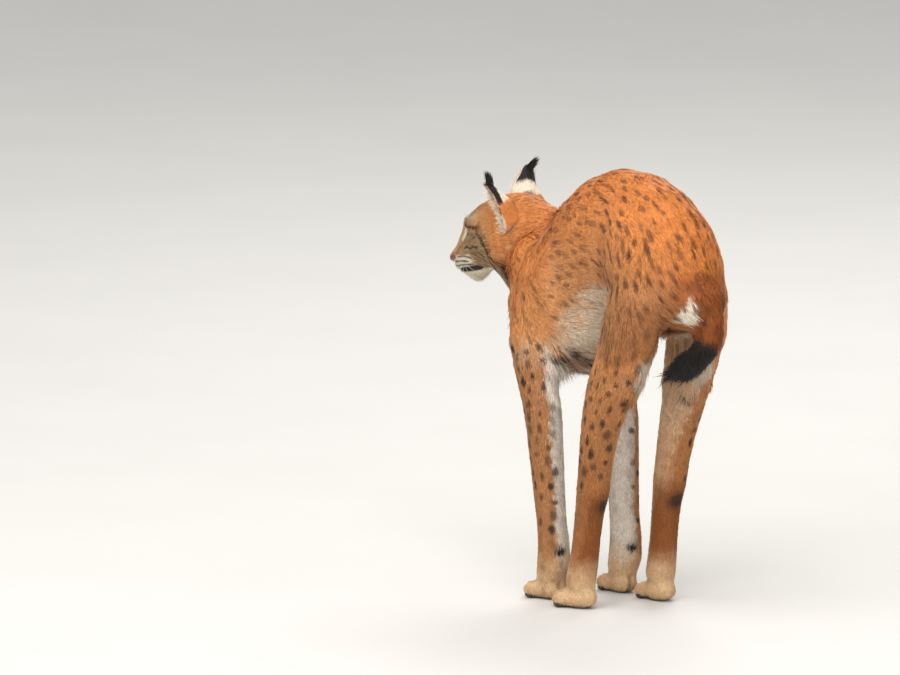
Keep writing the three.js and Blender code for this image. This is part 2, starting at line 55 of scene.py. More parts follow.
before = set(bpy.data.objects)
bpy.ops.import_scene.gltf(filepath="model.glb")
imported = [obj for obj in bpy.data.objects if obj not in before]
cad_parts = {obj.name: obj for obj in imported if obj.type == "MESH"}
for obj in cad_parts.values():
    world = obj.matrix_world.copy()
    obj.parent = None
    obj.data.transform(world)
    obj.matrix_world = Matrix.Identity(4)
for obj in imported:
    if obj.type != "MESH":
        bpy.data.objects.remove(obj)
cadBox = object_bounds()
report("frame loaded")

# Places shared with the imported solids, in metres
headPlace = {"at": (0.001, 0.239, 0.577), "turn": 27, "nod": -13, "roll": -5}
headAngles = [math.radians(headPlace[k]) for k in ("nod", "roll", "turn")]
headTurn = np.array(Matrix.Rotation(headAngles[2], 3, "Z") @ Matrix.Rotation(headAngles[0], 3, "X")
                    @ Matrix.Rotation(headAngles[1], 3, "Y"))
headAt = np.array(headPlace["at"])


def toHead(p):  # world to the head's own frame: +Y to the nose, +Z to the crown
    return (np.asarray(p) - headAt) @ headTurn


def fromHead(p):
    return np.asarray(p) @ headTurn.T + headAt


def mirrored(p):  # both halves folded onto +X
    m = p.copy()
    m[:, 0] = np.abs(m[:, 0])
    return m


def fromSide(p):  # flat, as seen from the side
    return p * np.array([0, 1, 1])


def unit(v):
    return v / np.maximum(np.linalg.norm(v, axis=-1, keepdims=True), 1e-12)


def smooth(a, b, x):  # 0 at a, 1 at b
    t = np.clip((x - a) / (b - a), 0, 1)
    return t * t * (3 - 2 * t)


def mix(a, b, t):
    t = np.asarray(t)[..., None]
    return np.asarray(a) * (1 - t) + np.asarray(b) * t


def cornerShares(f):  # the eight corners of a cell, and the share of each at f
    for a in (0, 1):
        for b in (0, 1):
            for c in (0, 1):
                share = (f[:, 0] if a else 1 - f[:, 0]) * (f[:, 1] if b else 1 - f[:, 1])
                yield a, b, c, share * (f[:, 2] if c else 1 - f[:, 2])


def noise(p, scale, seed=0):  # value noise from -1 to 1
    g = p / scale + 17.3 * seed
    i = np.floor(g).astype(np.int64)
    f = g - i
    f = f * f * (3 - 2 * f)
    total = 0
    for a, b, c, share in cornerShares(f):
        h = (i[:, 0] + a) * 73856093 ^ (i[:, 1] + b) * 19349663 ^ (i[:, 2] + c) * 83492791
        h = (h ^ (h >> 13)) * 1274126177
        total = total + share * (((h ^ (h >> 16)) & 0xFFFF) / 32767.5 - 1)
    return total


# Distance fields on a dense grid: less than 0 inside
margin = 0.012  # of a grid round its solids


def nodeMesh(names):
    points, faces, count = [], [], 0
    for name in names:
        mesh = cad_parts[name].data
        mesh.calc_loop_triangles()
        p = np.empty(len(mesh.vertices) * 3, dtype=np.float32)
        mesh.vertices.foreach_get("co", p)
        t = np.empty(len(mesh.loop_triangles) * 3, dtype=np.int32)
        mesh.loop_triangles.foreach_get("vertices", t)
        points.append(p.reshape(-1, 3))
        faces.append(t.reshape(-1, 3) + count)
        count += len(mesh.vertices)
    return np.concatenate(points), np.concatenate(faces).astype(np.uint32)


def faceCross(points, quads):  # square to each face, twice as long as the face's area
    a, b, c, d = (points[quads[:, k]] for k in range(4))
    return np.cross(c - a, d - b)


def surfaceOf(field):
    grid = vdb.FloatGrid(1.0)
    grid.transform = vdb.createLinearTransform(voxelSize=field["voxel"])
    grid.copyFromArray(np.ascontiguousarray(field["values"]), ijk=tuple(int(v) for v in field["first"]))
    points, triangles, quads = grid.convertToPolygons(isovalue=0.0, adaptivity=0.0)
    points, quads = points.astype(float), quads.astype(int)
    outward = points[quads[:, 0]] + points[quads[:, 2]] - 2 * points.mean(axis=0)
    if np.sum(faceCross(points, quads) * outward) < 0:
        quads = quads[:, ::-1]
    return points, quads


def closedField(names, box, rules):  # several nodes as one closed field, seams gone
    points, triangles = nodeMesh(names)
    voxel = rules["voxel"]
    swell = 0.5 * voxel
    line = vdb.createLinearTransform(voxelSize=voxel)
    grid = vdb.FloatGrid.createLevelSetFromPolygons(points, triangles=triangles, transform=line, halfWidth=3)
    points, triangles, quads = grid.convertToPolygons(isovalue=swell)
    grid = vdb.FloatGrid.createLevelSetFromPolygons(
        points, triangles=triangles, quads=quads, transform=line,
        exBandWidth=rules["outside"] / voxel, inBandWidth=rules["inside"] / voxel)
    first = np.floor((np.array(box[0]) - margin) / voxel).astype(int)
    last = np.ceil((np.array(box[1]) + margin) / voxel).astype(int)
    values = np.empty(tuple(last - first + 1), dtype=np.float32)
    grid.copyToArray(values, ijk=tuple(int(v) for v in first))
    return {"values": values + np.float32(swell), "first": first, "voxel": voxel}


def gridPoints(field):
    axes = [(field["first"][k] + np.arange(field["values"].shape[k])) * field["voxel"] for k in range(3)]
    return np.stack(np.meshgrid(*axes, indexing="ij"), axis=-1).reshape(-1, 3)


def sample(field, points):  # trilinear
    v = field["values"]
    g = np.clip(points / field["voxel"] - field["first"], 0, np.array(v.shape) - 1.001)
    i = g.astype(int)
    total = 0
    for a, b, c, share in cornerShares(g - i):
        total = total + share * v[i[:, 0] + a, i[:, 1] + b, i[:, 2] + c]
    return total


def blurred(values, times):  # 1-2-1 along each axis
    for _ in range(times):
        for axis in range(3):
            v = np.moveaxis(values, axis, 0)
            new = v.copy()
            new[1:-1] = 0.25 * v[:-2] + 0.5 * v[1:-1] + 0.25 * v[2:]
            values = np.moveaxis(new, 0, axis)
    return values


def toStretch(p, a, b):  # share along a to b of the nearest place, and the way from there to p
    t = np.clip((p - a) @ (b - a) / ((b - a) @ (b - a)), 0, 1)
    return t, p - a - t[:, None] * (b - a)


def bump(p, at, reach):  # 1 at its centre, falling to 0
    d = (p - np.array(at)) / np.array(reach)
    return np.exp(-np.sum(d * d, axis=-1))


# The body's skin
body = {
    "voxel": 0.0046, "inside": 0.05, "outside": 0.016,  # reach of the field on both sides of the surface
    "softer": (0.06, 0.2),  # heights between which the paws' crisp shape passes into a softer one
    # coat depth at heights of the leg, paw first
    "heights": [0.0, 0.05, 0.10, 0.25, 0.34, 0.44],
    "depths": [0.0025, 0.003, 0.004, 0.0055, 0.008, 0.011],
    "bellyDepth": 0.008,
    # swellings (more than 0) and hollows of the muscles, both sides: centre, reach, rise
    "muscles": [
        ((0.100, -0.112, 0.600), (0.050, 0.034, 0.120), -0.017),  # flank before the haunch
        ((0.090, -0.110, 0.480), (0.050, 0.050, 0.060), -0.012),  # fold of the groin
        ((0.100, -0.195, 0.570), (0.050, 0.060, 0.100), 0.008),  # haunch
        ((0.080, 0.110, 0.575), (0.040, 0.050, 0.060), 0.006),  # shoulder blade
        ((0.095, 0.030, 0.520), (0.030, 0.030, 0.090), -0.006),  # behind the shoulder
        ((0.060, -0.262, 0.500), (0.022, 0.030, 0.060), 0.003),  # seat
    ],
}
legNames = [f"{part}_{side}" for side in ("left", "right")
            for part in ("upper_foreleg", "forearm", "forepaw", "thigh", "shank", "hind_foot")]
bodyNames = ["torso", "neck", "tail"] + legNames
bodyField = closedField(bodyNames, cadBox, body)
points = gridPoints(bodyField)
shape = bodyField["values"].shape
soft = smooth(*body["softer"], points[:, 2]).reshape(shape)
plain = blurred(bodyField["values"], 1)
values = plain * (1 - soft) + blurred(plain, 2) * soft
depth = np.interp(points[:, 2], body["heights"], body["depths"])
depth += body["bellyDepth"] * bump(points, (0, -0.03, 0.37), (0.07, 0.12, 0.05))
for at, reach, rise in body["muscles"]:
    for side in (-1, 1):
        depth -= rise * bump(points, (side * at[0], at[1], at[2]), reach)
paws = {  # where each stands and how far it turns, degrees
    "left fore": ((-0.067, 0.035), 8), "right fore": ((0.0634, 0.0161), -4),
    "left hind": ((-0.0738, -0.0575), 14), "right hind": ((0.073, -0.078), -6),
}
toes = {"across": (-0.022, -0.008, 0.008, 0.022), "ahead": (0.028, 0.038, 0.038, 0.028),
        "grooves": ((-0.0155, -0.12), (0.0, 0.0), (0.0155, 0.12)), "narrow": 0.0032, "deep": 0.0042}


def toeGroove(p):  # 1 in the grooves between the toes
    total = np.zeros(len(p))
    for (fx, fy), turn in paws.values():
        spin = np.array(Matrix.Rotation(math.radians(turn), 3, "Z"))
        q = (p - np.array([fx, fy, 0])) @ spin
        onPaw = (np.abs(q[:, 0]) < 0.05) * (q[:, 1] < 0.08)
        for x, lean in toes["grooves"]:
            off = (q[:, 0] - x - lean * (q[:, 1] - 0.03)) / toes["narrow"]
            groove = np.exp(-off * off) * smooth(0.014, 0.034, q[:, 1]) * smooth(0.040, 0.030, q[:, 2])
            total += groove * onPaw
    return np.minimum(total, 1)


depth += toes["deep"] * toeGroove(points)
bodyField["values"] = (values + depth.reshape(shape)).astype(np.float32)
bodyPoints, bodyQuads = surfaceOf(bodyField)
report(f"body skin: {2 * len(bodyQuads)} triangles")

# The head's skin, in the head's frame
head = {
    "voxel": 0.0017, "inside": 0.03, "outside": 0.02, "coatDepth": 0.0065, "faceDepth": 0.0018,
    "eye": (0.032, 0.053, 0.0225), "eyeRadius": 0.0130, "lid": 0.0022,
    "lidTurn": 26, "lidSlant": 18, "lidWide": 0.0125, "lidHigh": 0.0066,
    # swellings (more than 0) and hollows, both sides: centre, reach, rise
    "shapes": [
        ((0.027, 0.062, 0.038), (0.016, 0.014, 0.008), 0.0030),  # brow
        ((0.016, 0.074, 0.016), (0.006, 0.014, 0.010), -0.0030),  # before the eye
        ((0.022, 0.100, -0.036), (0.012, 0.014, 0.010), 0.0020),  # whisker pad
        ((0.050, 0.034, -0.006), (0.014, 0.018, 0.010), 0.0020),  # cheekbone
    ],
}
eyeRim = ((0.037, 0.064, 0.0232), (0.0125, 0.014, 0.0076))  # centre and reach of the dark lids
nose = {
    "voxel": 0.0008, "low": (-0.022, 0.088, -0.040), "high": (0.022, 0.132, -0.004),
    "tip": ((0, 0.1118, -0.0208), (0.0136, 0.0156, 0.0076)),
    "wing": ((0.0096, 0.1130, -0.0240), (0.0072, 0.0106, 0.0064)),
}
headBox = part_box("head")
headField = closedField(["head"], headBox, head)
points = toHead(gridPoints(headField))
shape = headField["values"].shape


def roundUnion(a, b, k):
    h = np.clip(0.5 + 0.5 * (b - a) / k, 0, 1)
    return b * (1 - h) + a * h - k * h * (1 - h)


def roundCut(a, b, k):  # a without b
    return -roundUnion(-a, b, k)


def ballField(p, at, radii):
    radii = np.array(radii)
    q = (p - np.array(at)) / radii
    return (np.linalg.norm(q, axis=-1) - 1) * radii.min()


def lineField(p, ends, radius):  # distance to a bent line of several points
    best = np.full(len(p), 1.0)
    for a, b in zip(ends[:-1], ends[1:]):
        off = toStretch(p, np.array(a), np.array(b))[1]
        best = np.minimum(best, np.linalg.norm(off, axis=-1))
    return best - radius


values = blurred(headField["values"], times=3).reshape(-1)
face = smooth(0.02, 0.075, points[:, 1])
values = values + (head["coatDepth"] * (1 - face) + head["faceDepth"] * face)
for side in (-1, 1):
    mirror = points * np.array([side, 1, 1])
    eyeBall = np.linalg.norm(mirror - np.array(head["eye"]), axis=-1)
    for at, reach, rise in head["shapes"]:
        values -= rise * bump(mirror, at, reach)
    values = roundUnion(values, eyeBall - head["eyeRadius"] - head["lid"], 0.004)
    turn, slant = math.radians(head["lidTurn"]), math.radians(head["lidSlant"])
    q = mirror - np.array(head["eye"])
    gx = q[:, 0] * math.cos(turn) - q[:, 1] * math.sin(turn)
    gy = q[:, 0] * math.sin(turn) + q[:, 1] * math.cos(turn)
    gz = q[:, 2] * math.cos(slant) - gx * math.sin(slant)
    gx = gx * math.cos(slant) + q[:, 2] * math.sin(slant)
    almond = (gx / head["lidWide"]) ** 2 + np.abs(gz) / head["lidHigh"] - 1
    opening = np.where(gy > 0, almond * head["lidHigh"] * 0.8, 0.01)
    values = roundCut(values, opening, 0.0012)
    values = np.maximum(values, head["eyeRadius"] + 0.0004 - eyeBall)
# the bridge reaches the nose leather
bridge = [(0, .0765, .0295), (0, .0820, .0175), (0, .0860, .0110), (0, .0918, .0030), (0, .0988, -.0068),
          (0, .1070, -.0143), (0, .1125, -.0188), (0, .1152, -.0206)]
values = roundUnion(values, lineField(points, bridge, 0.0094), 0.007)
# mouth line, corner to corner, and the groove under the nose
lipHalf = [(.034, .060, -.0425), (.030, .080, -.0440), (.020, .100, -.0430)]  # from the corner inwards
lip = [(-x, y, z) for x, y, z in lipHalf] + [(0, .112, -.0385)] + lipHalf[::-1]
wideLip = [(x * 1.3, y + 0.012 * (abs(x) < 0.02), z) for x, y, z in lip]
mouth = np.minimum(lineField(points, lip, 0.0012), lineField(points, wideLip, 0.0016))
values = roundCut(values, mouth, 0.002)
values = roundCut(values, lineField(points, [(0, .121, -.026), (0, .119, -.038)], 0.0012), 0.002)
headField["values"] = values.reshape(shape).astype(np.float32)
headPoints, headQuads = surfaceOf(headField)
report(f"head skin: {2 * len(headQuads)} triangles")


def keepBiggest(points, faces):  # drops scraps that float free of the main surface
    parent = np.arange(len(points))
    for _ in range(400):
        low = parent[faces].min(axis=1)
        before = parent.copy()
        for k in range(faces.shape[1]):
            np.minimum.at(parent, faces[:, k], low)
        parent = parent[parent]
        if np.array_equal(parent, before):
            break
    names, counts = np.unique(parent[faces[:, 0]], return_counts=True)
    keep = parent[faces[:, 0]] == names[counts.argmax()]
    used = np.unique(faces[keep])
    order = np.full(len(points), -1)
    order[used] = np.arange(len(used))
    return points[used], order[faces[keep]]


bodyPoints, bodyQuads = keepBiggest(bodyPoints, bodyQuads)
headPoints, headQuads = keepBiggest(headPoints, headQuads)
report(f"kept {len(bodyPoints)} and {len(headPoints)} points")

# Ears: a cupped sheet each, in the head's frame
ear = {
    "at": (0.042, -0.012, 0.032), "height": 0.070, "radius": 0.032, "lean": 12, "nod": -20, "turn": 30,
    "tip": -0.004, "bend": (0.0, 0.014), "span": 100, "inset": 0.0022, "thick": 0.0024,
    "rows": 40, "columns": 36,
}


def earMatrix(side):
    lean, nod, turn = (math.radians(v) for v in (side * ear["lean"], ear["nod"], -side * ear["turn"]))
    spin = Matrix.Rotation(turn, 3, "Z") @ Matrix.Rotation(nod, 3, "X") @ Matrix.Rotation(lean, 3, "Y")
    return np.array(spin), np.array([side * ear["at"][0], ear["at"][1], ear["at"][2]])


def earPoint(side, s, v, inset):  # s from root to tip, v from edge to edge, both arrays
    spread = math.radians(ear["span"]) * (1 - 0.35 * s) * v
    radius = ear["radius"] * np.power(np.maximum(1 - 0.94 * s, 0), 0.52) - inset
    radius = radius * (1 + 0.05 * np.sin(7 * s + 2 * v) * (1 - s))
    radius = radius + 0.0012 * smooth(0.75, 1, np.abs(v)) * (1 - s)
    aside = side * ear["bend"][side > 0] * smooth(0.35, 1.25, s) * 1.4
    behind = -radius * np.cos(spread) + ear["tip"] * s * s
    p = np.stack((radius * np.sin(spread) + aside, behind, ear["height"] * s), -1)
    spin, at = earMatrix(side)
    return fromHead(p @ spin.T + at)


def earShell(side):
    rows, columns = ear["rows"], ear["columns"]
    s, v = np.meshgrid(np.linspace(-0.12, 0.985, rows + 1), np.linspace(-1, 1, columns + 1), indexing="ij")
    outer = earPoint(side, s, v, ear["inset"])
    inner = earPoint(side, s, v * 0.985, ear["inset"] + ear["thick"])
    points = np.concatenate((outer.reshape(-1, 3), inner.reshape(-1, 3)))
    ids = np.arange((rows + 1) * (columns + 1)).reshape(rows + 1, columns + 1)
    other = ids + ids.size
    faces = [np.stack((ids[:-1, :-1], ids[:-1, 1:], ids[1:, 1:], ids[1:, :-1]), -1).reshape(-1, 4),
             np.stack((other[:-1, :-1], other[1:, :-1], other[1:, 1:], other[:-1, 1:]), -1).reshape(-1, 4)]
    rim = np.concatenate((ids[0, :], ids[1:, -1], ids[-1, -2::-1], ids[-2:0:-1, 0]))
    after = np.roll(rim, -1)
    faces.append(np.stack((after, rim, rim + ids.size, after + ids.size), -1))
    faces = np.concatenate(faces)
    # the sheet's own places are kept for its markings: share to the tip, edge to edge, back or cup
    own = np.stack((np.concatenate((s.ravel(), s.ravel())), np.concatenate((v.ravel(), v.ravel())),
                    np.repeat((0.0, 1.0), ids.size)), -1)
    return points, faces, own


# One skin out of all of it: kind 0 is the body, 1 the head, 2 and 3 the ears
earKinds = {2: -1, 3: 1}  # and the side each is on
parts = [(bodyPoints, bodyQuads, 0, None), (headPoints, headQuads, 1, None)]
for kind, side in earKinds.items():
    earPoints, earFaces, earOwn = earShell(side)
    parts.append((earPoints, earFaces, kind, earOwn))
skinPoints = np.concatenate([p for p, f, k, own in parts])
offsets = np.cumsum([0] + [len(p) for p, f, k, own in parts])
skinQuads = np.concatenate([f + o for (p, f, k, own), o in zip(parts, offsets)])
skinKind = np.concatenate([np.full(len(p), k) for p, f, k, own in parts])
skinOwn = np.concatenate([np.zeros((len(p), 3)) if own is None else own for p, f, k, own in parts])


def pointNormals(points, quads):
    normal = faceCross(points, quads)
    total = np.zeros_like(points)
    for k in range(4):
        np.add.at(total, quads[:, k], normal)
    return unit(total)


skinNormals = pointNormals(skinPoints, skinQuads)
report(f"skin: {len(skinPoints)} points, {2 * len(skinQuads)} triangles")

# The way the coat lies: along the axis of each part, smoothed over the skin
axes = {  # points from front to back or top to bottom, how far each holds, and how much the coat hangs
    "trunk": ([(0, .165, .470), (0, .110, .492), (0, .050, .528), (0, -.020, .570), (0, -.095, .590),
               (0, -.170, .578), (0, -.240, .552), (0, -.292, .532)], 0.10, 0.45),
    "neck": ([(-.008, .226, .572), (0, .190, .558), (0, .140, .535), (0, .080, .508)], 0.065, 0.35),
    "tail": ([(0, -.285, .560), (.004, -.314, .525), (.005, -.316, .488), (.001, -.296, .454),
              (-.004, -.258, .427), (-.008, -.218, .406)], 0.028, 0.0),
    "forelegLeft": ([(-.046, .085, .578), (-.066, .098, .445), (-.074, .056, .320), (-.072, .036, .180),
                     (-.068, .030, .0)], 0.045, 0.0),
    "forelegRight": ([(.045, .083, .578), (.064, .094, .445), (.071, .046, .320), (.068, .022, .180),
                      (.062, .010, .0)], 0.045, 0.0),
    "hindlegLeft": ([(-.054, -.200, .585), (-.060, -.196, .500), (-.072, -.160, .400), (-.076, -.116, .300),
                     (-.074, -.084, .190), (-.074, -.060, .0)], 0.05, 0.0),
    "hindlegRight": ([(.054, -.201, .585), (.060, -.200, .500), (.071, -.165, .400), (.075, -.124, .300),
                      (.071, -.095, .190), (.072, -.078, .0)], 0.05, 0.0),
}


def axisFlow(p):
    total = np.zeros_like(p)
    for line, hold, hang in axes.values():
        line = np.array(line)
        bestD = np.full(len(p), 9.0)
        along = np.zeros_like(p)
        for a, b in zip(line[:-1], line[1:]):
            d = np.linalg.norm(toStretch(p, a, b)[1], axis=1)
            closer = d < bestD
            bestD[closer] = d[closer]
            along[closer] = unit(b - a)
        along = along + np.array([0, 0, -hang])
        w = np.exp(-(bestD / hold) ** 2 * 1.6)
        total += w[:, None] * unit(along)
    return unit(total + 1e-9)


flow = axisFlow(skinPoints)
inHead = toHead(skinPoints)
# on the head it runs away from the nose, and down over the cheeks
away = unit(inHead - np.array([0, 0.122, -0.012])) + np.array([0, -0.55, 0])
cheek = (smooth(0.045, 0.0, inHead[:, 1]) * smooth(0.02, -0.03, inHead[:, 2]))[:, None]
away = unit(away) + cheek * np.array([0, -0.1, -0.7])
isHead = skinKind == 1
headFlow = unit(away) @ headTurn.T
flow[isHead] = headFlow[isHead]
for kind, side in earKinds.items():
    spin, at = earMatrix(side)
    up = (headTurn @ spin) @ np.array([0, 0, 1.0])
    isEar = skinKind == kind
    out = (headTurn @ spin) @ np.array([side * 0.8, 0.25, 0.45])
    flow[isEar] = np.where(skinOwn[isEar, 2:3] > 0.5, unit(out), up)


def smoothedFlow(flow, normals, quads, times):
    for _ in range(times):
        total = flow.copy()
        for k in range(4):
            np.add.at(total, quads[:, k], flow[quads[:, (k + 1) % 4]])
            np.add.at(total, quads[:, k], flow[quads[:, (k + 3) % 4]])
        total -= np.sum(total * normals, axis=1, keepdims=True) * normals
        flow = unit(total)
    return flow


flow = smoothedFlow(flow, skinNormals, skinQuads, times=6)
report("lie of the coat")

# Markings, the same for skin and coat
shades = {  # linear colours
    "back": (0.560, 0.185, 0.042), "flank": (0.540, 0.225, 0.075), "belly": (0.640, 0.530, 0.390),
    "thigh": (0.430, 0.178, 0.062), "shank": (0.350, 0.138, 0.044), "hock": (0.235, 0.068, 0.013),
    "grey": (0.620, 0.555, 0.480), "paw": (0.640, 0.425, 0.240), "rump": (0.250, 0.066, 0.012),
    "black": (0.012, 0.010, 0.009), "spot": (0.110, 0.032, 0.012), "darkSpot": (0.028, 0.014, 0.009),
    "white": (0.720, 0.620, 0.500), "crown": (0.560, 0.200, 0.055),
    "mottle": (0.120, 0.048, 0.020), "lip": (0.020, 0.014, 0.012), "earSkin": (0.330, 0.190, 0.140),
    "cup": (0.420, 0.300, 0.220),
}
spotRules = {"spacing": 0.0205, "tries": 60000, "seed": 5}
hocks = ((-0.062, -0.120, 0.180), (0.072, -0.135, 0.178))
wrists = ((-0.074, 0.002, 0.090), (0.060, -0.016, 0.086))
darkBars = [  # inside the elbows and the thighs: centre and reach
    ((-0.058, 0.033, 0.412), (0.02, 0.010, 0.007)), ((-0.053, 0.009, 0.416), (0.02, 0.008, 0.010)),
    ((-0.041, -0.010, 0.400), (0.02, 0.007, 0.010)), ((0.055, -0.182, 0.371), (0.015, 0.011, 0.011)),
    ((0.056, 0.025, 0.417), (0.02, 0.012, 0.006)),
]


def bellyShare(p):  # 0 along the belly, 1 along the back
    y = p[:, 1]
    stations = [-.292, -.240, -.170, -.095, -.020, .050, .110, .165, .226]
    top = np.interp(y, stations, [.580, .655, .718, .739, .704, .624, .576, .590, .610])
    low = np.interp(y, stations, [.472, .464, .466, .452, .404, .348, .348, .376, .500])
    return (p[:, 2] - low) / (top - low)


def bodyColour(p, n):
    x, y, z = p.T
    share = bellyShare(p)
    wobble = 0.06 * noise(p, 0.035, 1)
    ragged = 0.16 * noise(p, 0.012, 2) + 0.10 * noise(p, 0.004, 13)
    c = mix(shades["flank"], shades["back"], smooth(0.45, 0.95, share + wobble))
    # painted light: a paler patch on the left flank only
    c = mix(c, (0.60, 0.29, 0.12), 0.5 * bump(p, (-0.09, 0.0, 0.53), (0.05, 0.08, 0.06)))
    # painted shade: the crease between flank and haunch is darker, on both sides
    creaseShade = bump(np.stack((y, z), -1), (-0.112, 0.600), (0.020, 0.110)) * (np.abs(x) > 0.05)
    c = mix(c, (0.34, 0.110, 0.030), 0.5 * creaseShade)
    streak = noise(p * np.array([1, 1, 0.28]), 0.0045, 21)
    # painted shade: the lower haunch towards the seat is darker and redder, more on the left than the right
    seatShade = smooth(-0.16, -0.27, y) * smooth(0.60, 0.50, z) * smooth(0.34, 0.42, z)
    c = mix(c, (0.40, 0.135, 0.036), np.where(x < 0, 0.6, 0.15) * seatShade)
    # painted shade and painted light: the left haunch is darker and the right one lighter, as the light fell
    # on them
    haunchLightAndShade = smooth(0.66, 0.52, z) * smooth(0.43, 0.50, z) * smooth(-0.32, -0.25, y) * smooth(-0.02, -0.09, y)
    haunchLightAndShade = haunchLightAndShade * smooth(0.02, 0.05, np.abs(x))
    leftShaded = c * mix(np.ones(3), (0.68, 0.70, 0.80), haunchLightAndShade)
    c = np.where((x < 0)[:, None], leftShaded, c * (1 + 0.2 * haunchLightAndShade)[:, None])
    # the neck takes the crown's colour, lightened by about a fifth: partly its own paler colour, partly
    # painted light against the shade where head and neck meet
    neck = smooth(0.10, 0.17, y) * smooth(0.45, 0.50, z)
    c = mix(c, shades["crown"] * np.array([1.15, 1.2, 1.2]), 0.7 * neck)
    white = smooth(0.38, 0.10, share + 0.6 * wobble + 0.4 * ragged + 0.07 * streak)
    c = mix(c, shades["belly"], 0.92 * white * smooth(-.112, -.070, y + 0.05 * ragged + 0.012 * streak))
    c = c * np.exp(0.10 * streak + 0.10 * noise(p, 0.05, 22))[:, None]
    # where the belly faces down it is paler: partly its own colour, partly painted light against the shade
    # beneath
    paleAndLitUnderside = smooth(-0.15, -0.60, n[:, 2]) * smooth(0.34, 0.38, z)
    paleAndLitUnderside = paleAndLitUnderside * smooth(-0.24, -0.17, y) * smooth(0.12, 0.08, y)
    c = mix(c, (0.80, 0.70, 0.56), 0.9 * paleAndLitUnderside)
    # legs below the trunk
    legs = smooth(0.46, 0.38, z) * smooth(0.02, 0.04, np.abs(x))
    inward = -np.sign(x) * n[:, 0]
    fore = y > -0.03
    hind = ~fore
    reach = np.interp(z, [0.2, 0.3, 0.42], [0.0, 0.15, 0.32]) - 0.25 * (x > 0)
    foreInner = smooth(0.02, 0.62, 0.80 * inward - 0.60 * n[:, 1] + ragged + reach)
    foreOuter = mix(shades["thigh"], shades["flank"], 0.4) * np.array([0.80, 0.85, 0.95])
    foreColour = mix(foreOuter, shades["grey"], foreInner)
    foreColour = mix(foreColour, (0.60, 0.40, 0.24), 0.5 * smooth(0.6, 1.0, n[:, 1] + ragged))
    hindInner = smooth(0.15, 1.05, inward + 0.25 * n[:, 1] + ragged)
    hindColour = mix(shades["thigh"], shades["shank"], smooth(0.36, 0.2, z))
    hindColour = mix(hindColour, (0.66, 0.41, 0.235), 0.85 * hindInner * smooth(0.12, 0.24, z))
    hindColour = hindColour * np.exp(0.16 * noise(p, 0.03, 23))[:, None]
    rear = smooth(-0.1, 0.6, -n[:, 1] + 0.4 * inward + ragged)
    hindColour = mix(hindColour, shades["hock"], 0.85 * rear * smooth(0.225, 0.185, z) * smooth(0.05, 0.1, z))
    front = smooth(0.2, 0.8, n[:, 1] + ragged) * smooth(0.2, 0.1, z)
    hindColour = mix(hindColour, shades["paw"], 0.6 * front)
    for at in hocks:
        hock = smooth(0.35, 0.8, -n[:, 1] + 0.7 * ragged) * bump(p, at, (0.016, 0.030, 0.014))
        hindColour = mix(hindColour, shades["darkSpot"], np.clip(1.3 * hock, 0, 0.85))
    c = mix(c, np.where(fore[:, None], foreColour, hindColour), legs)
    # forelegs' upper inner side and fringe, groin
    c = mix(c, shades["grey"], foreInner * fore * smooth(0.52, 0.44, z) * smooth(0.02, 0.04, np.abs(x)) * 0.8)
    groin = smooth(0.3, 1.0, inward + ragged) * hind * smooth(0.52, 0.44, z) * smooth(0.24, 0.36, z)
    c = mix(c, (0.66, 0.47, 0.31), 0.6 * groin)
    # pale feathering behind the thighs
    feather = bump(np.stack((np.abs(x), y, z), -1), (0.058, -0.222, 0.410), (0.020, 0.022, 0.045))
    c = mix(c, (0.56, 0.47, 0.37), 0.85 * smooth(0.25, 0.7, feather + 0.5 * ragged))
    # paws
    paw = smooth(0.105, 0.030, z + 0.07 * ragged + 0.012 * noise(p, 0.02, 26))
    c = mix(c, shades["paw"], paw)
    c = mix(c, (0.22, 0.12, 0.06), 0.7 * toeGroove(p))
    c = mix(c, shades["black"], 0.75 * smooth(0.009, 0.003, z + 0.002 * noise(p, 0.006, 3)))
    # dark bars inside the elbows and the thighs
    for at, reach in darkBars:
        c = mix(c, shades["darkSpot"], np.clip(1.5 * bump(p, at, reach), 0, 0.95))
    # rump and tail
    rump = smooth(-0.262, -0.288, y) * smooth(0.62, 0.57, z)
    c = mix(c, shades["rump"], rump * 0.75)
    tail = smooth(0.034, 0.030, lineField(p, axes["tail"][0], 0.0))
    c = mix(c, shades["rump"], tail)
    c = mix(c, shades["black"], tail * smooth(0.484, 0.468, z + 0.012 * noise(p, 0.02, 4)))
    for side in (-1, 1):
        slope = p + (z - 0.522)[:, None] * np.array([side * 0.36, 0, 0])
        seat = bump(slope, (side * 0.038, -0.298, 0.512), (0.013, 0.032, 0.044))
        c = mix(c, shades["white"], smooth(0.25, 0.5, seat + 0.5 * ragged) * (1 - tail))
        mark = bump(p, (side * 0.030, -0.304, 0.537), (0.004, 0.02, 0.009))
        c = mix(c, shades["darkSpot"], 0.7 * smooth(0.4, 0.7, mark))
    # tufts of black at the back of each wrist
    for at in wrists:
        c = mix(c, shades["black"], np.clip(1.6 * bump(p, at, (0.009, 0.012, 0.006)), 0, 1))
    return c


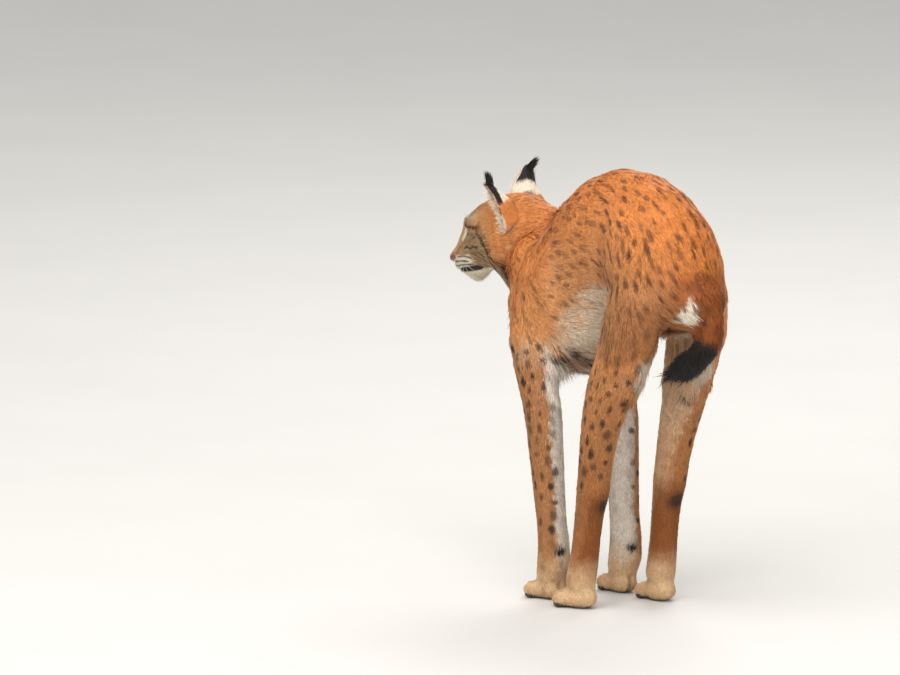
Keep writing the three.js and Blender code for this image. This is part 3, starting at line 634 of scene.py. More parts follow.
faceStrokes = {  # on the side of the face, as places (y, z) in the head's frame, half width and strength
    "wave": ([(.083, -.008), (.076, -.0055), (.069, -.0085), (.060, -.0045), (.054, -.0065), (.047, -.005)],
             0.0016, 0.9),
    "short": ([(.052, -.0145), (.046, -.0190), (.040, -.0215)], 0.0015, 0.8),
    "low": ([(.050, -.029), (.043, -.035)], 0.0016, 0.8),
    "middle": ([(.070, -.017), (.062, -.0195), (.056, -.024)], 0.0011, 0.5),
    "row one": ([(.099, -.0205), (.088, -.0195), (.076, -.0245)], 0.0014, 0.85),
    "row two": ([(.106, -.0270), (.094, -.0268), (.082, -.0295)], 0.0013, 0.85),
    "row three": ([(.105, -.0335), (.092, -.0335), (.077, -.0365)], 0.0013, 0.85),
}
stripes = {  # from the eye down the cheek, also from the side
    "main": ([(.065, .029), (.056, .0272), (.049, .0235), (.0435, .014), (.0355, .005), (.0305, -.0033),
              (.027, -.012), (.026, -.0212), (.0285, -.033), (.032, -.045), (.035, -.056)], 0.0021, 1.0),
    "outer": ([(.040, .0245), (.031, .012), (.0245, .0), (.0205, -.012), (.020, -.024)], 0.0009, 0.6),
    "ruff": ([(.0170, -.0360), (.0200, -.0520), (.0200, -.0700)], 0.0026, 0.9),
}


def lipShare(mirror):  # less than 1 on the dark lips
    y = mirror[:, 1]
    places = [(0, .118, -.0390), (0, .1015, -.0425), (0, .082, -.0435), (0, .062, -.0450)]
    lipLine = lineField(fromSide(mirror), places, 0.0)
    return lipLine / (0.0014 + 0.0036 * smooth(0.106, 0.092, y) * smooth(0.058, 0.070, y))


def headColour(p):
    q = toHead(p)
    mirror = mirrored(q)
    flat = fromSide(mirror)
    x, y, z = mirror.T
    wobble = noise(p, 0.012, 6)
    fine = noise(p, 0.0045, 7)
    c = mix(shades["crown"], (0.47, 0.240, 0.108), smooth(0.005, 0.06, y + 0.3 * (0.03 - z) + 0.004 * wobble))
    c = mix(c, (0.40, 0.180, 0.075), smooth(0.02, -0.03, z) * smooth(0.02, -0.04, y))
    patch = smooth(0.1, 0.6, wobble) * smooth(0.05, 0.02, y) * smooth(-0.03, 0.0, y) * smooth(0.035, 0.02, z)
    c = mix(c, (0.60, 0.38, 0.20), 0.6 * patch)
    # the face between bridge and stripe is pale brown, mottled
    side = smooth(0.012, 0.020, x) * smooth(0.024, 0.036, y) * smooth(0.104, 0.090, y)
    side = side * smooth(0.020, 0.010, z)
    c = mix(c, (0.36, 0.205, 0.100), side)
    mottle = noise(q * np.array([1, 1, 1.9]), 0.0052, 24)
    mottle = mottle + 0.5 * noise(q * np.array([1, 1, 1.6]), 0.0026, 25)
    c = mix(c, (0.14, 0.065, 0.028), 0.45 * side * smooth(0.2, 0.75, mottle))
    c = mix(c, (0.52, 0.36, 0.21), 0.5 * side * smooth(-0.2, -0.8, mottle))
    bridge = smooth(0.017, 0.009, x) * smooth(-0.012, 0.002, z + 0.4 * (y - 0.09)) * smooth(0.06, 0.075, y)
    c = mix(c, (0.56, 0.31, 0.155), bridge)
    streak = smooth(0.25, 0.8, np.sin(x * 900 + 3 * wobble))
    streak = streak * smooth(0.036, 0.046, z) * smooth(0.02, 0.045, y)
    c = mix(c, shades["mottle"], 0.45 * streak * smooth(0.034, 0.022, x))
    # pink skin shows beside the nose
    pink = bump(mirror, (0.020, 0.102, -0.013), (0.012, 0.012, 0.009))
    c = mix(c, (0.44, 0.185, 0.100), 0.7 * smooth(0.3, 0.8, pink))
    # white round the eye, at the muzzle, on lips, chin and throat
    strip = lineField(flat, [(0, .079, .023), (0, .084, .014), (0, .090, .004)], 0.0)
    pad = smooth(0.070, 0.080, y) * smooth(-0.016, -0.020, z) * smooth(0.008, 0.014, x)
    white = sum((
        bump(mirror, (0.032, 0.062, 0.0400), (0.016, 0.014, 0.005)) * 0.55,
        smooth(0.0038, 0.0020, strip) * smooth(0.006, 0.010, x) * smooth(0.034, 0.028, x),
        bump(mirror, (0.036, 0.066, 0.0105), (0.012, 0.012, 0.0035)) * 0.8,
        0.9 * pad,
        smooth(-0.0455, -0.0490, z) * smooth(0.0, 0.03, y) * 1.2,
        smooth(0.100, 0.106, y) * smooth(-0.024, -0.028, z)))
    c = mix(c, shades["white"], np.clip(white, 0, 1))
    throat = smooth(-0.030, -0.046, z + 0.003 * wobble) * smooth(0.046, 0.034, y) * smooth(0.010, 0.018, y)
    c = mix(c, shades["white"], 0.85 * throat)
    under = smooth(-0.058, -0.070, z) * smooth(-0.03, 0.0, y)
    c = mix(c, shades["white"], 0.8 * under)
    outward = smooth(0.010, 0.016, x)
    for line, wide, strength in faceStrokes.values():
        d = lineField(flat, [(0.0, *v) for v in line], 0.0) + 0.0006 * fine
        c = mix(c, shades["lip"], strength * outward * smooth(wide * 1.5, wide * 0.6, d))
    outside = smooth(0.020, 0.028, x)
    for line, wide, strength in stripes.values():
        d = lineField(flat, [(0.0, *v) for v in line], 0.0) + 0.0006 * wobble
        c = mix(c, shades["lip"], strength * outside * smooth(wide * 1.7, wide * 0.7, d))
    # the face is darker than the back of the head; the chin is painted lighter, against the shade beneath the
    # jaw
    c = c * mix((0.84, 0.88, 0.86), np.ones(3), smooth(0.02, -0.05, y))
    c = c * (1 + 0.30 * smooth(-0.044, -0.052, z) * smooth(0.0, 0.03, y))[:, None]
    # lids, their inner corner and the lips
    c = mix(c, shades["black"], smooth(0.42, 0.62, bump(mirror, *eyeRim)))
    corner = lineField(mirror, [(.026, .068, .0175), (.020, .075, .0105)], 0.0)
    c = mix(c, shades["black"], 0.8 * smooth(0.0035, 0.002, corner))
    c = mix(c, shades["lip"], smooth(1.15, 0.85, lipShare(mirror)))
    # the dark mark behind each ear
    mark = bump(mirror, (0.052, -0.046, 0.052), (0.012, 0.010, 0.009)) + 0.1 * fine
    c = mix(c, (0.10, 0.040, 0.020), 0.8 * smooth(0.35, 0.7, mark))
    # white down before the ears
    down = bump(mirror, (0.0475, -0.003, 0.033), (0.012, 0.010, 0.012)) + 0.1 * fine
    c = mix(c, shades["white"], smooth(0.3, 0.6, down))
    return c


def earColour(own, side, p):
    s, v, cup = own.T
    wobble = noise(p, 0.008, 8)
    w = v * side
    edge = np.interp(s, [0.22, 0.38, 0.53, 0.68, 0.80, 0.90], [0.84, 0.70, 0.54, 0.28, -0.3, -1.1])
    tipDark = smooth(0.60, 0.70, s + 0.05 * wobble + (0.13 if side > 0 else -0.03) + 0.05 * w)
    strip = smooth(-0.10, 0.06, w - edge + 0.06 * wobble) * smooth(0.16, 0.24, s)
    back = mix(shades["white"], shades["black"], np.clip(tipDark + strip, 0, 1))
    lowAt = 0.10 if side > 0 else 0.33
    low = smooth(lowAt + 0.04, lowAt - 0.04, s + 0.03 * wobble - 0.10 * w) * smooth(1.0, 0.9, w)
    back = mix(back, shades["crown"], low)
    smudge = smooth(0.06, 0.12, s) * smooth(0.26, 0.18, s) * smooth(0.35, 0.1, np.abs(w + 0.1) + 0.1 * wobble)
    back = mix(back, (0.08, 0.035, 0.020), 0.8 * smudge)
    back = mix(back, shades["white"], smooth(-0.80, -0.90, w) * smooth(0.93, 0.8, s))
    back = mix(back, (0.50, 0.27, 0.17), smooth(0.90, 0.96, w) * smooth(0.3, 0.4, s))
    inside = mix(shades["cup"], shades["white"], smooth(0.3, 0.9, np.abs(v)) * 0.8)
    inside = mix(inside, shades["earSkin"], smooth(0.35, 0.1, s) * smooth(0.6, 0.2, np.abs(v)))
    edgeHair = (cup > 0.02) & (cup < 0.98)
    edgeColour = mix(shades["white"], (0.50, 0.27, 0.17), smooth(0.4, 0.9, s))
    inside = np.where(edgeHair[:, None], edgeColour, inside)
    return np.where((cup > 0.5)[:, None] | edgeHair[:, None], inside, back)


def coatColour(p, n, kind, own):
    c = bodyColour(p, n)
    onHead = kind == 1
    if onHead.any():
        c[onHead] = headColour(p[onHead])
    for k, side in earKinds.items():
        onEar = kind == k
        if onEar.any():
            c[onEar] = earColour(own[onEar], side, p[onEar])
    return c


# Places of the dark spots, spread evenly over the skin
rng = np.random.default_rng(spotRules["seed"])


def scatter(amount):  # random places on the skin, even by area
    area = 0.5 * np.linalg.norm(faceCross(skinPoints, skinQuads), axis=1)
    amountEach = amount(skinQuads) if callable(amount) else amount
    expected = np.cumsum(area * amountEach)
    count = int(expected[-1])
    quad = np.searchsorted(expected, (np.arange(count) + rng.random(count)) * expected[-1] / count)
    quad = np.minimum(quad, len(skinQuads) - 1)
    u, w = rng.random((2, count))
    weights = np.stack(((1 - u) * (1 - w), u * (1 - w), u * w, (1 - u) * w), -1)
    return skinQuads[quad], weights


def blend(values, corners, weights):
    return sum(values[corners[:, k]] * weights[:, k, None] for k in range(4))


def spotPlaces():
    corners, weights = scatter(spotRules["tries"])
    p = blend(skinPoints, corners, weights)
    kind = skinKind[corners[:, 0]]
    kept, cell, size = [], {}, spotRules["spacing"]
    for i in range(len(p)):
        if kind[i] > 1:
            continue
        key = tuple(np.floor(p[i] / size).astype(int))
        near = False
        for dx in (-1, 0, 1):
            for dy in (-1, 0, 1):
                for dz in (-1, 0, 1):
                    for j in cell.get((key[0] + dx, key[1] + dy, key[2] + dz), ()):
                        if np.sum((p[i] - p[j]) ** 2) < size * size:
                            near = True
        if not near:
            cell.setdefault(key, []).append(i)
            kept.append(i)
    kept = np.array(kept)
    pick = corners[kept], weights[kept]
    return p[kept], unit(blend(flow, *pick)), unit(blend(skinNormals, *pick)), kind[kept]


spotAt, spotLie, spotUp, spotKind = spotPlaces()
x, y, z = spotAt.T
share = bellyShare(spotAt)
low = z < 0.42
legHind = low & (y <= -0.03)
spotLong = np.where(low, 0.0078, np.where(share > 0.8, 0.0112, 0.0088)) * rng.uniform(0.55, 1.4, len(x))
spotWide = np.where(low, 0.0052, np.where(share > 0.8, 0.0040, 0.0042)) * rng.uniform(0.7, 1.35, len(x))
spotDark = rng.uniform(0.55, 1.0, len(x))
spotDark *= np.where(low, 1.0, np.where(share < 0.3, 0.55, 0.92))
spotDark *= np.where(z < 0.12, 0.35, 1.0) * np.where(legHind & (z < 0.2), 0.15, 1.0)
spotInner = -np.sign(x) * spotUp[:, 0]
spotDark *= np.where(low & (spotInner > 0.08), 0.22, 1.0)
spotDark *= np.where(spotKind == 1, 0.0, 1.0) * np.where((y > 0.15) & (z > 0.5), 0.12, 1.0)
tailNear = lineField(spotAt, axes["tail"][0], 0.0) < 0.033
spotDark *= np.where(tailNear & (z < 0.47), 0.0, 1.0)
flankSide = (~low) & (share < 0.84)
foreFlank = flankSide & (y > -0.09)
spotLong = spotLong * np.where(flankSide, 1.35, 1.0)
spotWide = spotWide * np.where(flankSide, 1.05, 1.0)
spotDark *= np.where(foreFlank, 0.72, 1.0)
spotDark *= rng.random(len(x)) < np.where(foreFlank, 0.50, np.where(flankSide, 0.72, 0.88))
spotBlack = np.where(low | (share < 0.35), 0.75, 0.15)
spotTree = KDTree(len(spotAt))
for i, place in enumerate(spotAt):
    spotTree.insert(place, i)
spotTree.balance()
report(f"{len(spotAt)} spots")


def spotted(p, colours):
    near = np.array([[found[1] for found in spotTree.find_n(place, 3)] for place in p])
    dark = np.zeros(len(p))
    black = np.zeros(len(p))
    ragged = 1 + 0.28 * noise(p, 0.004, 9)
    for j in range(3):
        k = near[:, j]
        d = p - spotAt[k]
        along = np.sum(d * spotLie[k], axis=1)
        across = np.sqrt(np.maximum(np.sum(d * d, axis=1) - along * along, 0))
        r = np.sqrt((along / spotLong[k]) ** 2 + (across / spotWide[k]) ** 2) * ragged
        value = spotDark[k] * smooth(1.35, 0.45, r)
        black = np.where(value > dark, spotBlack[k], black)
        dark = np.maximum(dark, value)
    ink = mix(shades["spot"], shades["darkSpot"], black)
    return mix(colours, ink, dark)


# Finishes
def newMaterial(name, roughness):
    material = bpy.data.materials.new(name)
    material.use_nodes = True
    shader = material.node_tree.nodes["Principled BSDF"]
    shader.inputs["Roughness"].default_value = roughness
    return material, material.node_tree, shader


def feed(tree, node, inputs):  # values or other nodes' outputs into the inputs of a node
    for key, value in inputs.items():
        if isinstance(value, bpy.types.NodeSocket):
            tree.links.new(value, node.inputs[key])
        else:
            node.inputs[key].default_value = value


def addNode(tree, kind, inputs, **settings):
    node = tree.nodes.new(kind)
    for key, value in settings.items():
        setattr(node, key, value)
    feed(tree, node, inputs)
    return node


def placeIn(tree):
    return addNode(tree, "ShaderNodeTexCoord", {}).outputs["Object"]


def noiseNode(tree, scale, detail):
    inputs = {"Scale": scale, "Detail": detail, "Vector": placeIn(tree)}
    return addNode(tree, "ShaderNodeTexNoise", inputs).outputs["Fac"]


def rampNode(tree, source, stops):  # stops: place and colour
    ramp = addNode(tree, "ShaderNodeValToRGB", {"Fac": source})
    while len(ramp.color_ramp.elements) < len(stops):
        ramp.color_ramp.elements.new(0.5)
    for element, (place, colour) in zip(ramp.color_ramp.elements, stops):
        element.position = place
        element.color = (*colour, 1)
    return ramp.outputs["Color"]


def rangeNode(tree, source, low, high):
    inputs = {"Value": source, "From Min": 0.3, "From Max": 0.7, "To Min": low, "To Max": high}
    return addNode(tree, "ShaderNodeMapRange", inputs).outputs["Result"]


def bumpNode(tree, source, strength, distance):
    inputs = {"Height": source, "Strength": strength, "Distance": distance}
    return addNode(tree, "ShaderNodeBump", inputs).outputs["Normal"]


def coatMaterial(name, roughness, sheen, grain, bumpDepth):
    material, tree, shader = newMaterial(name, roughness)
    fine = noiseNode(tree, grain, 5)
    level = rangeNode(tree, fine, 0.82, 1.12)
    grey = addNode(tree, "ShaderNodeCombineColor", {"Red": level, "Green": level, "Blue": level})
    colour = addNode(tree, "ShaderNodeAttribute", {}, attribute_name="coat")
    inputs = {"Factor": 1.0, "A": colour.outputs["Color"], "B": grey.outputs["Color"]}
    vary = addNode(tree, "ShaderNodeMix", inputs, data_type="RGBA", blend_type="MULTIPLY")
    feed(tree, shader, {
        "Specular IOR Level": 0.25, "Sheen Weight": sheen, "Sheen Roughness": 0.5,
        "Base Color": vary.outputs["Result"], "Normal": bumpNode(tree, fine, 0.5, bumpDepth),
        "Roughness": rangeNode(tree, fine, roughness - 0.06, roughness + 0.08)})
    return material


skinFinish = coatMaterial("skinUnderCoat", 0.75, 0.05, 420, 0.0006)
coatFinish = coatMaterial("coatHair", 0.62, 0.05, 260, 0.0001)


# Mesh pieces
def placed(name, data):
    piece = bpy.data.objects.new(name, data)
    bpy.context.scene.collection.objects.link(piece)
    return piece


def meshObject(name, points, faces, material):
    mesh = bpy.data.meshes.new(name)
    points, faces = np.asarray(points, dtype=np.float32), np.asarray(faces, dtype=np.int32)
    mesh.vertices.add(len(points))
    mesh.vertices.foreach_set("co", points.ravel())
    mesh.loops.add(faces.size)
    mesh.loops.foreach_set("vertex_index", faces.ravel())
    mesh.polygons.add(len(faces))
    mesh.polygons.foreach_set("loop_start", np.arange(len(faces), dtype=np.int32) * faces.shape[1])
    mesh.update(calc_edges=True)
    mesh.shade_smooth()
    mesh.materials.append(material)
    piece = placed(name, mesh)
    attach(piece, "root")
    return piece


def ballGrid(rings, around):  # angles down and round a ball, and the faces of its rings
    down, turn = np.linspace(0, math.pi, rings + 1), np.linspace(0, 2 * math.pi, around + 1)
    ids = np.arange((rings + 1) * (around + 1)).reshape(rings + 1, around + 1)
    faces = np.stack((ids[:-1, :-1], ids[1:, :-1], ids[1:, 1:], ids[:-1, 1:]), -1).reshape(-1, 4)
    return *np.meshgrid(down, turn, indexing="ij"), faces


def setColours(piece, colours):
    data = np.concatenate((colours, np.ones((len(colours), 1))), axis=1).astype(np.float32)
    layer = piece.data.color_attributes.new("coat", "FLOAT_COLOR", "POINT")
    layer.data.foreach_set("color", data.ravel())


def setNormals(piece, normals):
    layer = piece.data.attributes.new("custom_normal", "FLOAT_VECTOR", "POINT")
    layer.data.foreach_set("vector", normals.astype(np.float32).ravel())


def setPlaces(piece, name, uv, faces):  # a UV map from places of the points
    layer = piece.data.uv_layers.new(name=name)
    layer.data.foreach_set("uv", uv[faces.ravel()].astype(np.float32).ravel())


skin = meshObject("skin", skinPoints, skinQuads, skinFinish)
skinPaintedLight = 1.08  # than the tufts above it: painted light against the shade between the tufts
skinColours = spotted(skinPoints, coatColour(skinPoints, skinNormals, skinKind, skinOwn))
setColours(skin, skinColours * skinPaintedLight)
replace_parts(skin, *bodyNames, "head", "ear_left", "ear_right")
report("skin made")

# The coat
coat = {
    "perSquare": {"trunk": 255000, "leg": 310000, "head": 620000, "ear": 480000},  # tufts on a square metre
    "seed": 21, "yaw": 0.14, "vary": 0.25, "most": 32000,
    "legHeight": 0.34, "bareSole": 0.0035, "inHead": 0.0035, "inBody": -0.003, "earInHead": 0.0005,
    "roundEye": 0.0012, "roundNose": 0.0002, "roundLips": 0.95,
    # share of tufts up to or over which one is darker or paler, and by how much
    "dark": (0.04, 0.80), "pale": (0.94, 1.18),
}
perSquare = coat["perSquare"]
isLow = skinPoints[:, 2] < coat["legHeight"]
amountAt = np.where(skinKind == 0, np.where(isLow, perSquare["leg"], perSquare["trunk"]),
                    np.where(skinKind == 1, perSquare["head"], perSquare["ear"])).astype(float)
corners, weights = scatter(lambda quads: amountAt[quads].mean(axis=1))
rootAt = blend(skinPoints, corners, weights)
rootUp = unit(blend(skinNormals, corners, weights))
rootLie = blend(flow, corners, weights)
rootKind = skinKind[corners[:, 0]]
rootOwn = blend(skinOwn, corners, weights)
q = toHead(rootAt)
mirror = mirrored(q)
# no tufts on the soles, and none where one part's skin lies inside another
keep = rootAt[:, 2] > coat["bareSole"]
isHead = rootKind == 1
overHead = sample(headField, rootAt)
keep &= ~((rootKind == 0) & (overHead < coat["inHead"]) & (np.linalg.norm(q, axis=1) < 0.1))
keep &= ~(isHead & (sample(bodyField, rootAt) < coat["inBody"]))
keep &= ~((rootKind > 1) & (overHead < coat["earInHead"]))
# the lids, the eyes, the nose leather and the lips stay bare
keep &= ~(isHead & (bump(mirror, *eyeRim) > 0.50))
fromEye = np.linalg.norm(mirror - np.array(head["eye"]), axis=1) - head["eyeRadius"]
keep &= ~(isHead & (fromEye < coat["roundEye"]))
noseField = np.minimum(ballField(mirror, *nose["tip"]), ballField(mirror, *nose["wing"]))
keep &= ~(isHead & (noseField < coat["roundNose"]))
keep &= ~(isHead & (lipShare(mirror) < coat["roundLips"]))
rootAt, rootUp, rootLie = rootAt[keep], rootUp[keep], rootLie[keep]
rootKind, rootOwn, q = rootKind[keep], rootOwn[keep], q[keep]
count = len(rootAt)
report(f"{count} tufts rooted")

# Length, width and height above the skin
x, y, z = rootAt.T
share = bellyShare(rootAt)
heights = [0.0, 0.05, 0.12, 0.25, 0.34, 0.45]
long = np.interp(z, heights, [0.0055, 0.0065, 0.008, 0.010, 0.014, 0.017])
lift = np.interp(z, heights, [0.0016, 0.0018, 0.0020, 0.0026, 0.0034, 0.0040])
wide = np.interp(z, [0.0, 0.12, 0.34, 0.45], [0.0012, 0.0013, 0.0015, 0.0017])
belly = smooth(0.36, 0.10, share) * smooth(0.34, 0.40, z) * (rootKind == 0) * smooth(-0.25, -0.19, y)
belly = belly * np.maximum(smooth(0.088, 0.060, np.abs(x)), smooth(0.44, 0.47, z))
inner = smooth(-0.2, 0.7, -np.sign(x) * rootUp[:, 0])
elbow = bump(fromSide(rootAt), (0, 0.015, 0.38), (1, 0.030, 0.060)) * smooth(0.47, 0.43, z)
elbow = elbow * smooth(0.3, -0.2, rootUp[:, 1]) * (0.15 + 0.85 * inner)
trousers = bump(fromSide(rootAt), (0, -0.210, 0.37), (1, 0.030, 0.070)) * (0.15 + 0.85 * inner)
wristTuft = sum(bump(rootAt, np.array(at) + np.array([0, 0, 0.001]), (0.012, 0.012, 0.009)) for at in wrists)
for where, longer, higher in ((belly, 0.018, 0.007), (elbow, 0.018, 0.004), (trousers, 0.010, 0.003),
                              (wristTuft, 0.007, 0.0)):
    long = long + longer * where
    lift = lift + higher * where
onNeck = (rootKind == 0) & (y > 0.12) & (z > 0.46)
long = np.where(onNeck, 0.021, long)
nearHead = np.where(onNeck, smooth(0.004, 0.030, sample(headField, rootAt)), 1.0)
long = long * (0.55 + 0.45 * nearHead)
rootLie = unit(mix(rootLie, np.array([0.0, -0.75, -0.65]), np.where(onNeck, 1 - 0.8 * nearHead, 0)))
lift = np.where(onNeck, 0.0020 + 0.0030 * nearHead, lift)
tailNear = lineField(rootAt, axes["tail"][0], 0.0) < 0.034
long = np.where(tailNear, 0.021 + 0.015 * smooth(0.46, 0.42, z), long)
lift = np.where(tailNear, 0.0070 + 0.006 * smooth(0.46, 0.43, z), lift)
# the head: shortest at the nose, longest on cheek and throat
isHead = rootKind == 1
hy, hz = q[:, 1], q[:, 2]
far = np.linalg.norm(q - np.array([0, 0.118, -0.018]), axis=1)
reaches = [0.012, 0.03, 0.06, 0.10, 0.16]
headLong = np.interp(far, reaches, [0.0024, 0.0034, 0.0055, 0.010, 0.016])
ruff = smooth(-0.01, -0.045, hz) * smooth(0.06, 0.02, hy) * smooth(-0.062, -0.035, hy)
jaw = smooth(-0.050, -0.062, hz) * smooth(0.03, 0.06, hy)
throat = smooth(-0.034, -0.052, hz) * smooth(0.058, 0.044, hy) * smooth(-0.03, 0.0, hy)
headLong = headLong + 0.018 * ruff + 0.008 * jaw + 0.034 * throat
headLift = np.interp(far, reaches, [0.0006, 0.0010, 0.0016, 0.0035, 0.0055])
headLift = headLift + 0.0035 * ruff + 0.0030 * jaw + 0.006 * throat
long = np.where(isHead, headLong, long)
lift = np.where(isHead, headLift, lift)
wide = np.where(isHead, np.interp(far, [0.012, 0.04, 0.10, 0.16], [0.0007, 0.0010, 0.0016, 0.0022]), wide)
isEar = rootKind > 1
cup = isEar & (rootOwn[:, 2] > 0.5)
long = np.where(isEar, 0.0065, long)
long = np.where(cup, 0.011 * smooth(0.45, 0.9, np.abs(rootOwn[:, 1])) + 0.004, long)
nearTip = isEar & (rootOwn[:, 0] > 0.8)
long = np.where(nearTip, 0.0050, long)
lift = np.where(isEar, 0.0012, lift)
lift = np.where(cup, 0.004 * smooth(0.25, 0.8, np.abs(rootOwn[:, 1])) + 0.001, lift)
wide = np.where(isEar, 0.0011, wide)

tuftRng = np.random.default_rng(coat["seed"])
long = long * np.exp(tuftRng.normal(0, coat["vary"] * 0.7, count))
lift = lift * np.exp(tuftRng.normal(0, coat["vary"], count) + 0.18 * noise(rootAt, 0.014, 12))
wide = wide * tuftRng.uniform(0.75, 1.3, count)
sideways = unit(np.cross(rootLie, rootUp))
yaw = tuftRng.normal(0, coat["yaw"], count)
yaw = yaw + 0.30 * noise(rootAt, 0.030, 10) + 0.16 * noise(rootAt, 0.009, 11)
lie = unit(rootLie - np.sum(rootLie * rootUp, axis=1, keepdims=True) * rootUp)
lie = unit(lie * np.cos(yaw)[:, None] + sideways * np.sin(yaw)[:, None])
across = unit(np.cross(lie, rootUp))
gravity = np.array([0, 0, -1.0])
hang = (0.35 * belly + 0.35 * elbow + 0.2 * trousers + np.where(isHead, 0.9 * throat + 0.3 * jaw, 0))[:, None]
lift = lift * np.where(isHead, 0.52, 0.46)

colour = spotted(rootAt + lie * (long * 0.5)[:, None], coatColour(rootAt, rootUp, rootKind, rootOwn))
luck = tuftRng.random(count)
tone = np.exp(tuftRng.normal(0, 0.07, count) + 0.08 * noise(rootAt, 0.010, 14))
tone *= np.where(luck < coat["dark"][0], coat["dark"][1], 1.0)
tone *= np.where(luck > coat["pale"][0], coat["pale"][1], 1.0)
colour = np.clip(colour * tone[:, None], 0, 0.9)
report("coat coloured")


def nearestAxis(p):  # region, share along it and turn round it, for the unwrap
    best = np.full(len(p), 99.0)
    region, along, angle = np.zeros(len(p), int), np.zeros(len(p)), np.zeros(len(p))
    for index, (line, hold, _) in enumerate(axes.values()):
        line = np.array(line)
        steps = np.linalg.norm(np.diff(line, axis=0), axis=1)
        reached = np.concatenate(([0], np.cumsum(steps))) / steps.sum()
        for k, (a, b) in enumerate(zip(line[:-1], line[1:])):
            t, off = toStretch(p, a, b)
            d = np.linalg.norm(off, axis=1) / hold
            closer = d < best
            best[closer] = d[closer]
            region[closer] = index
            along[closer] = (reached[k] + t * (reached[k + 1] - reached[k]))[closer]
            forward = unit(b - a)
            right = unit(np.cross(forward, [0.02, 0.3, 1.0] if abs(forward[2]) < 0.9 else [0.0, 1.0, 0.0]))
            over = np.cross(right, forward)
            angle[closer] = np.arctan2(off @ over, off @ right)[closer]
    return region, along, angle


region, unwrapV, angle = nearestAxis(rootAt)
unwrapU = 0.5 + angle / (2 * math.pi)
unwrapU = np.where(isHead, 0.5 + np.arctan2(q[:, 0], hz) / (2 * math.pi), unwrapU)
unwrapV = np.where(isHead, np.arccos(np.clip(hy / np.linalg.norm(q, axis=1), -1, 1)) / math.pi, unwrapV)
# regions 0 to 6 follow the axes, 10 and 11 are the ears' backs, 20 and 21 their cups
region = np.where(isEar, 8 + rootKind + 10 * (rootOwn[:, 2] > 0.5), region)
unwrapU = np.where(isEar, 0.5 + 0.5 * rootOwn[:, 1], unwrapU)
unwrapV = np.where(isEar, rootOwn[:, 0], unwrapV)

tufts = {
    "at": rootAt, "up": rootUp, "lie": lie, "across": across, "long": long, "wide": wide, "lift": lift,
    "hang": hang, "colour": colour, "u": unwrapU, "v": unwrapV, "region": region, "kind": rootKind,
}
tips = {"seed": 8, "count": 220, "long": (0.016, 0.026), "wide": 0.0011, "spread": 0.10, "lift": 0.0006,
        # share to the tip and place across the back, then the way each tuft leans
        "left": ((0.90, 0.10), (-0.16, 0.05, 0.98)), "right": ((0.90, -0.10), (0.56, -0.40, 0.72))}


def addTips():  # the black tuft of each ear
    draw = np.random.default_rng(tips["seed"])
    n = tips["count"]
    for label, side in (("left", -1), ("right", 1)):
        (s, v), aim = tips[label]
        aim = unit(np.array(aim))
        s = np.clip(s + draw.normal(0, 0.040, n), 0.78, 0.985)
        v = np.clip(v + draw.normal(0, 0.24, n), -0.9, 0.9) * side
        heading = unit(aim + draw.normal(0, tips["spread"], (n, 3)) * (0.4 + 0.6 * draw.random((n, 1))))
        up = unit(np.cross(heading, draw.normal(0, 1, (n, 3))))
        new = {
            "at": earPoint(side, s, v, ear["inset"] + 0.001), "up": up, "lie": heading,
            "across": unit(np.cross(heading, up)), "long": draw.uniform(*tips["long"], n),
            "wide": tips["wide"] * draw.uniform(0.8, 1.2, n), "lift": np.full(n, tips["lift"]),
            "hang": np.zeros((n, 1)), "colour": np.array(shades["black"]) * draw.uniform(0.8, 1.5, (n, 1)),
            "u": 0.5 + 0.5 * v, "v": s,
            "region": np.full(n, 10 + (side > 0)), "kind": np.full(n, 2 + (side > 0)),
        }
        for key, values in new.items():
            tufts[key] = np.concatenate((tufts[key], values))


addTips()

# depth of the root in metres, then shares of a tuft's length, height and width
tuftShape = {"deep": 0.0010, "midAt": 0.42, "midHigh": 0.80, "tipHigh": 0.95, "ridge": 0.40}
# A tuft's nine points: root, left, right, ridge and tip of the upper faces, then the underside's own root,
# left, right and tip. Each has its tone and its place on the small patch of the unwrap.
tuftTone = np.array([0.88, 0.97, 0.97, 1.03, 1.10, 0.88, 0.95, 0.95, 1.08])
tuftPatch = np.array([(0, -1), (-1, 0), (1, 0), (0, 0), (0, 1), (0, -1), (-1, 0), (1, 0), (0, 1)]) * 0.0015
tuftFaces = np.array([(5, 6, 7), (0, 3, 1), (0, 2, 3), (7, 6, 8), (1, 3, 4), (3, 2, 4)])


def tuftMesh(name, pick, uv):
    p, up, f, s, colours = (tufts[key][pick] for key in ("at", "up", "lie", "across", "colour"))
    reach, width, height = (tufts[key][pick, None] for key in ("long", "wide", "lift"))
    drop = tufts["hang"][pick] * gravity
    root = p - up * tuftShape["deep"]
    mid = p + unit(f + 0.3 * drop) * reach * tuftShape["midAt"] + up * height * tuftShape["midHigh"]
    tip = p + unit(f + drop * 0.6) * reach + up * height * tuftShape["tipHigh"]
    left, right, ridge = mid - s * width * 0.5, mid + s * width * 0.5, mid + up * width * tuftShape["ridge"]
    points = np.stack((root, left, right, ridge, tip, root, left, right, tip), axis=1).reshape(-1, 3)
    normals = unit(np.stack((up, up - 0.5 * s, up + 0.5 * s, up, up + 0.3 * f,
                             -up, -up - 0.6 * s, -up + 0.6 * s, 0.3 * f - up), axis=1))
    faces = (np.arange(len(pick))[:, None, None] * len(tuftTone) + tuftFaces).reshape(-1, 3)
    piece = meshObject(name, points, faces, coatFinish)
    setColours(piece, np.clip(colours[:, None, :] * tuftTone[None, :, None], 0, 0.95).reshape(-1, 3))
    setNormals(piece, normals.reshape(-1, 3))
    setPlaces(piece, "OFBake", (uv[:, None, :] + tuftPatch).reshape(-1, 2), faces)


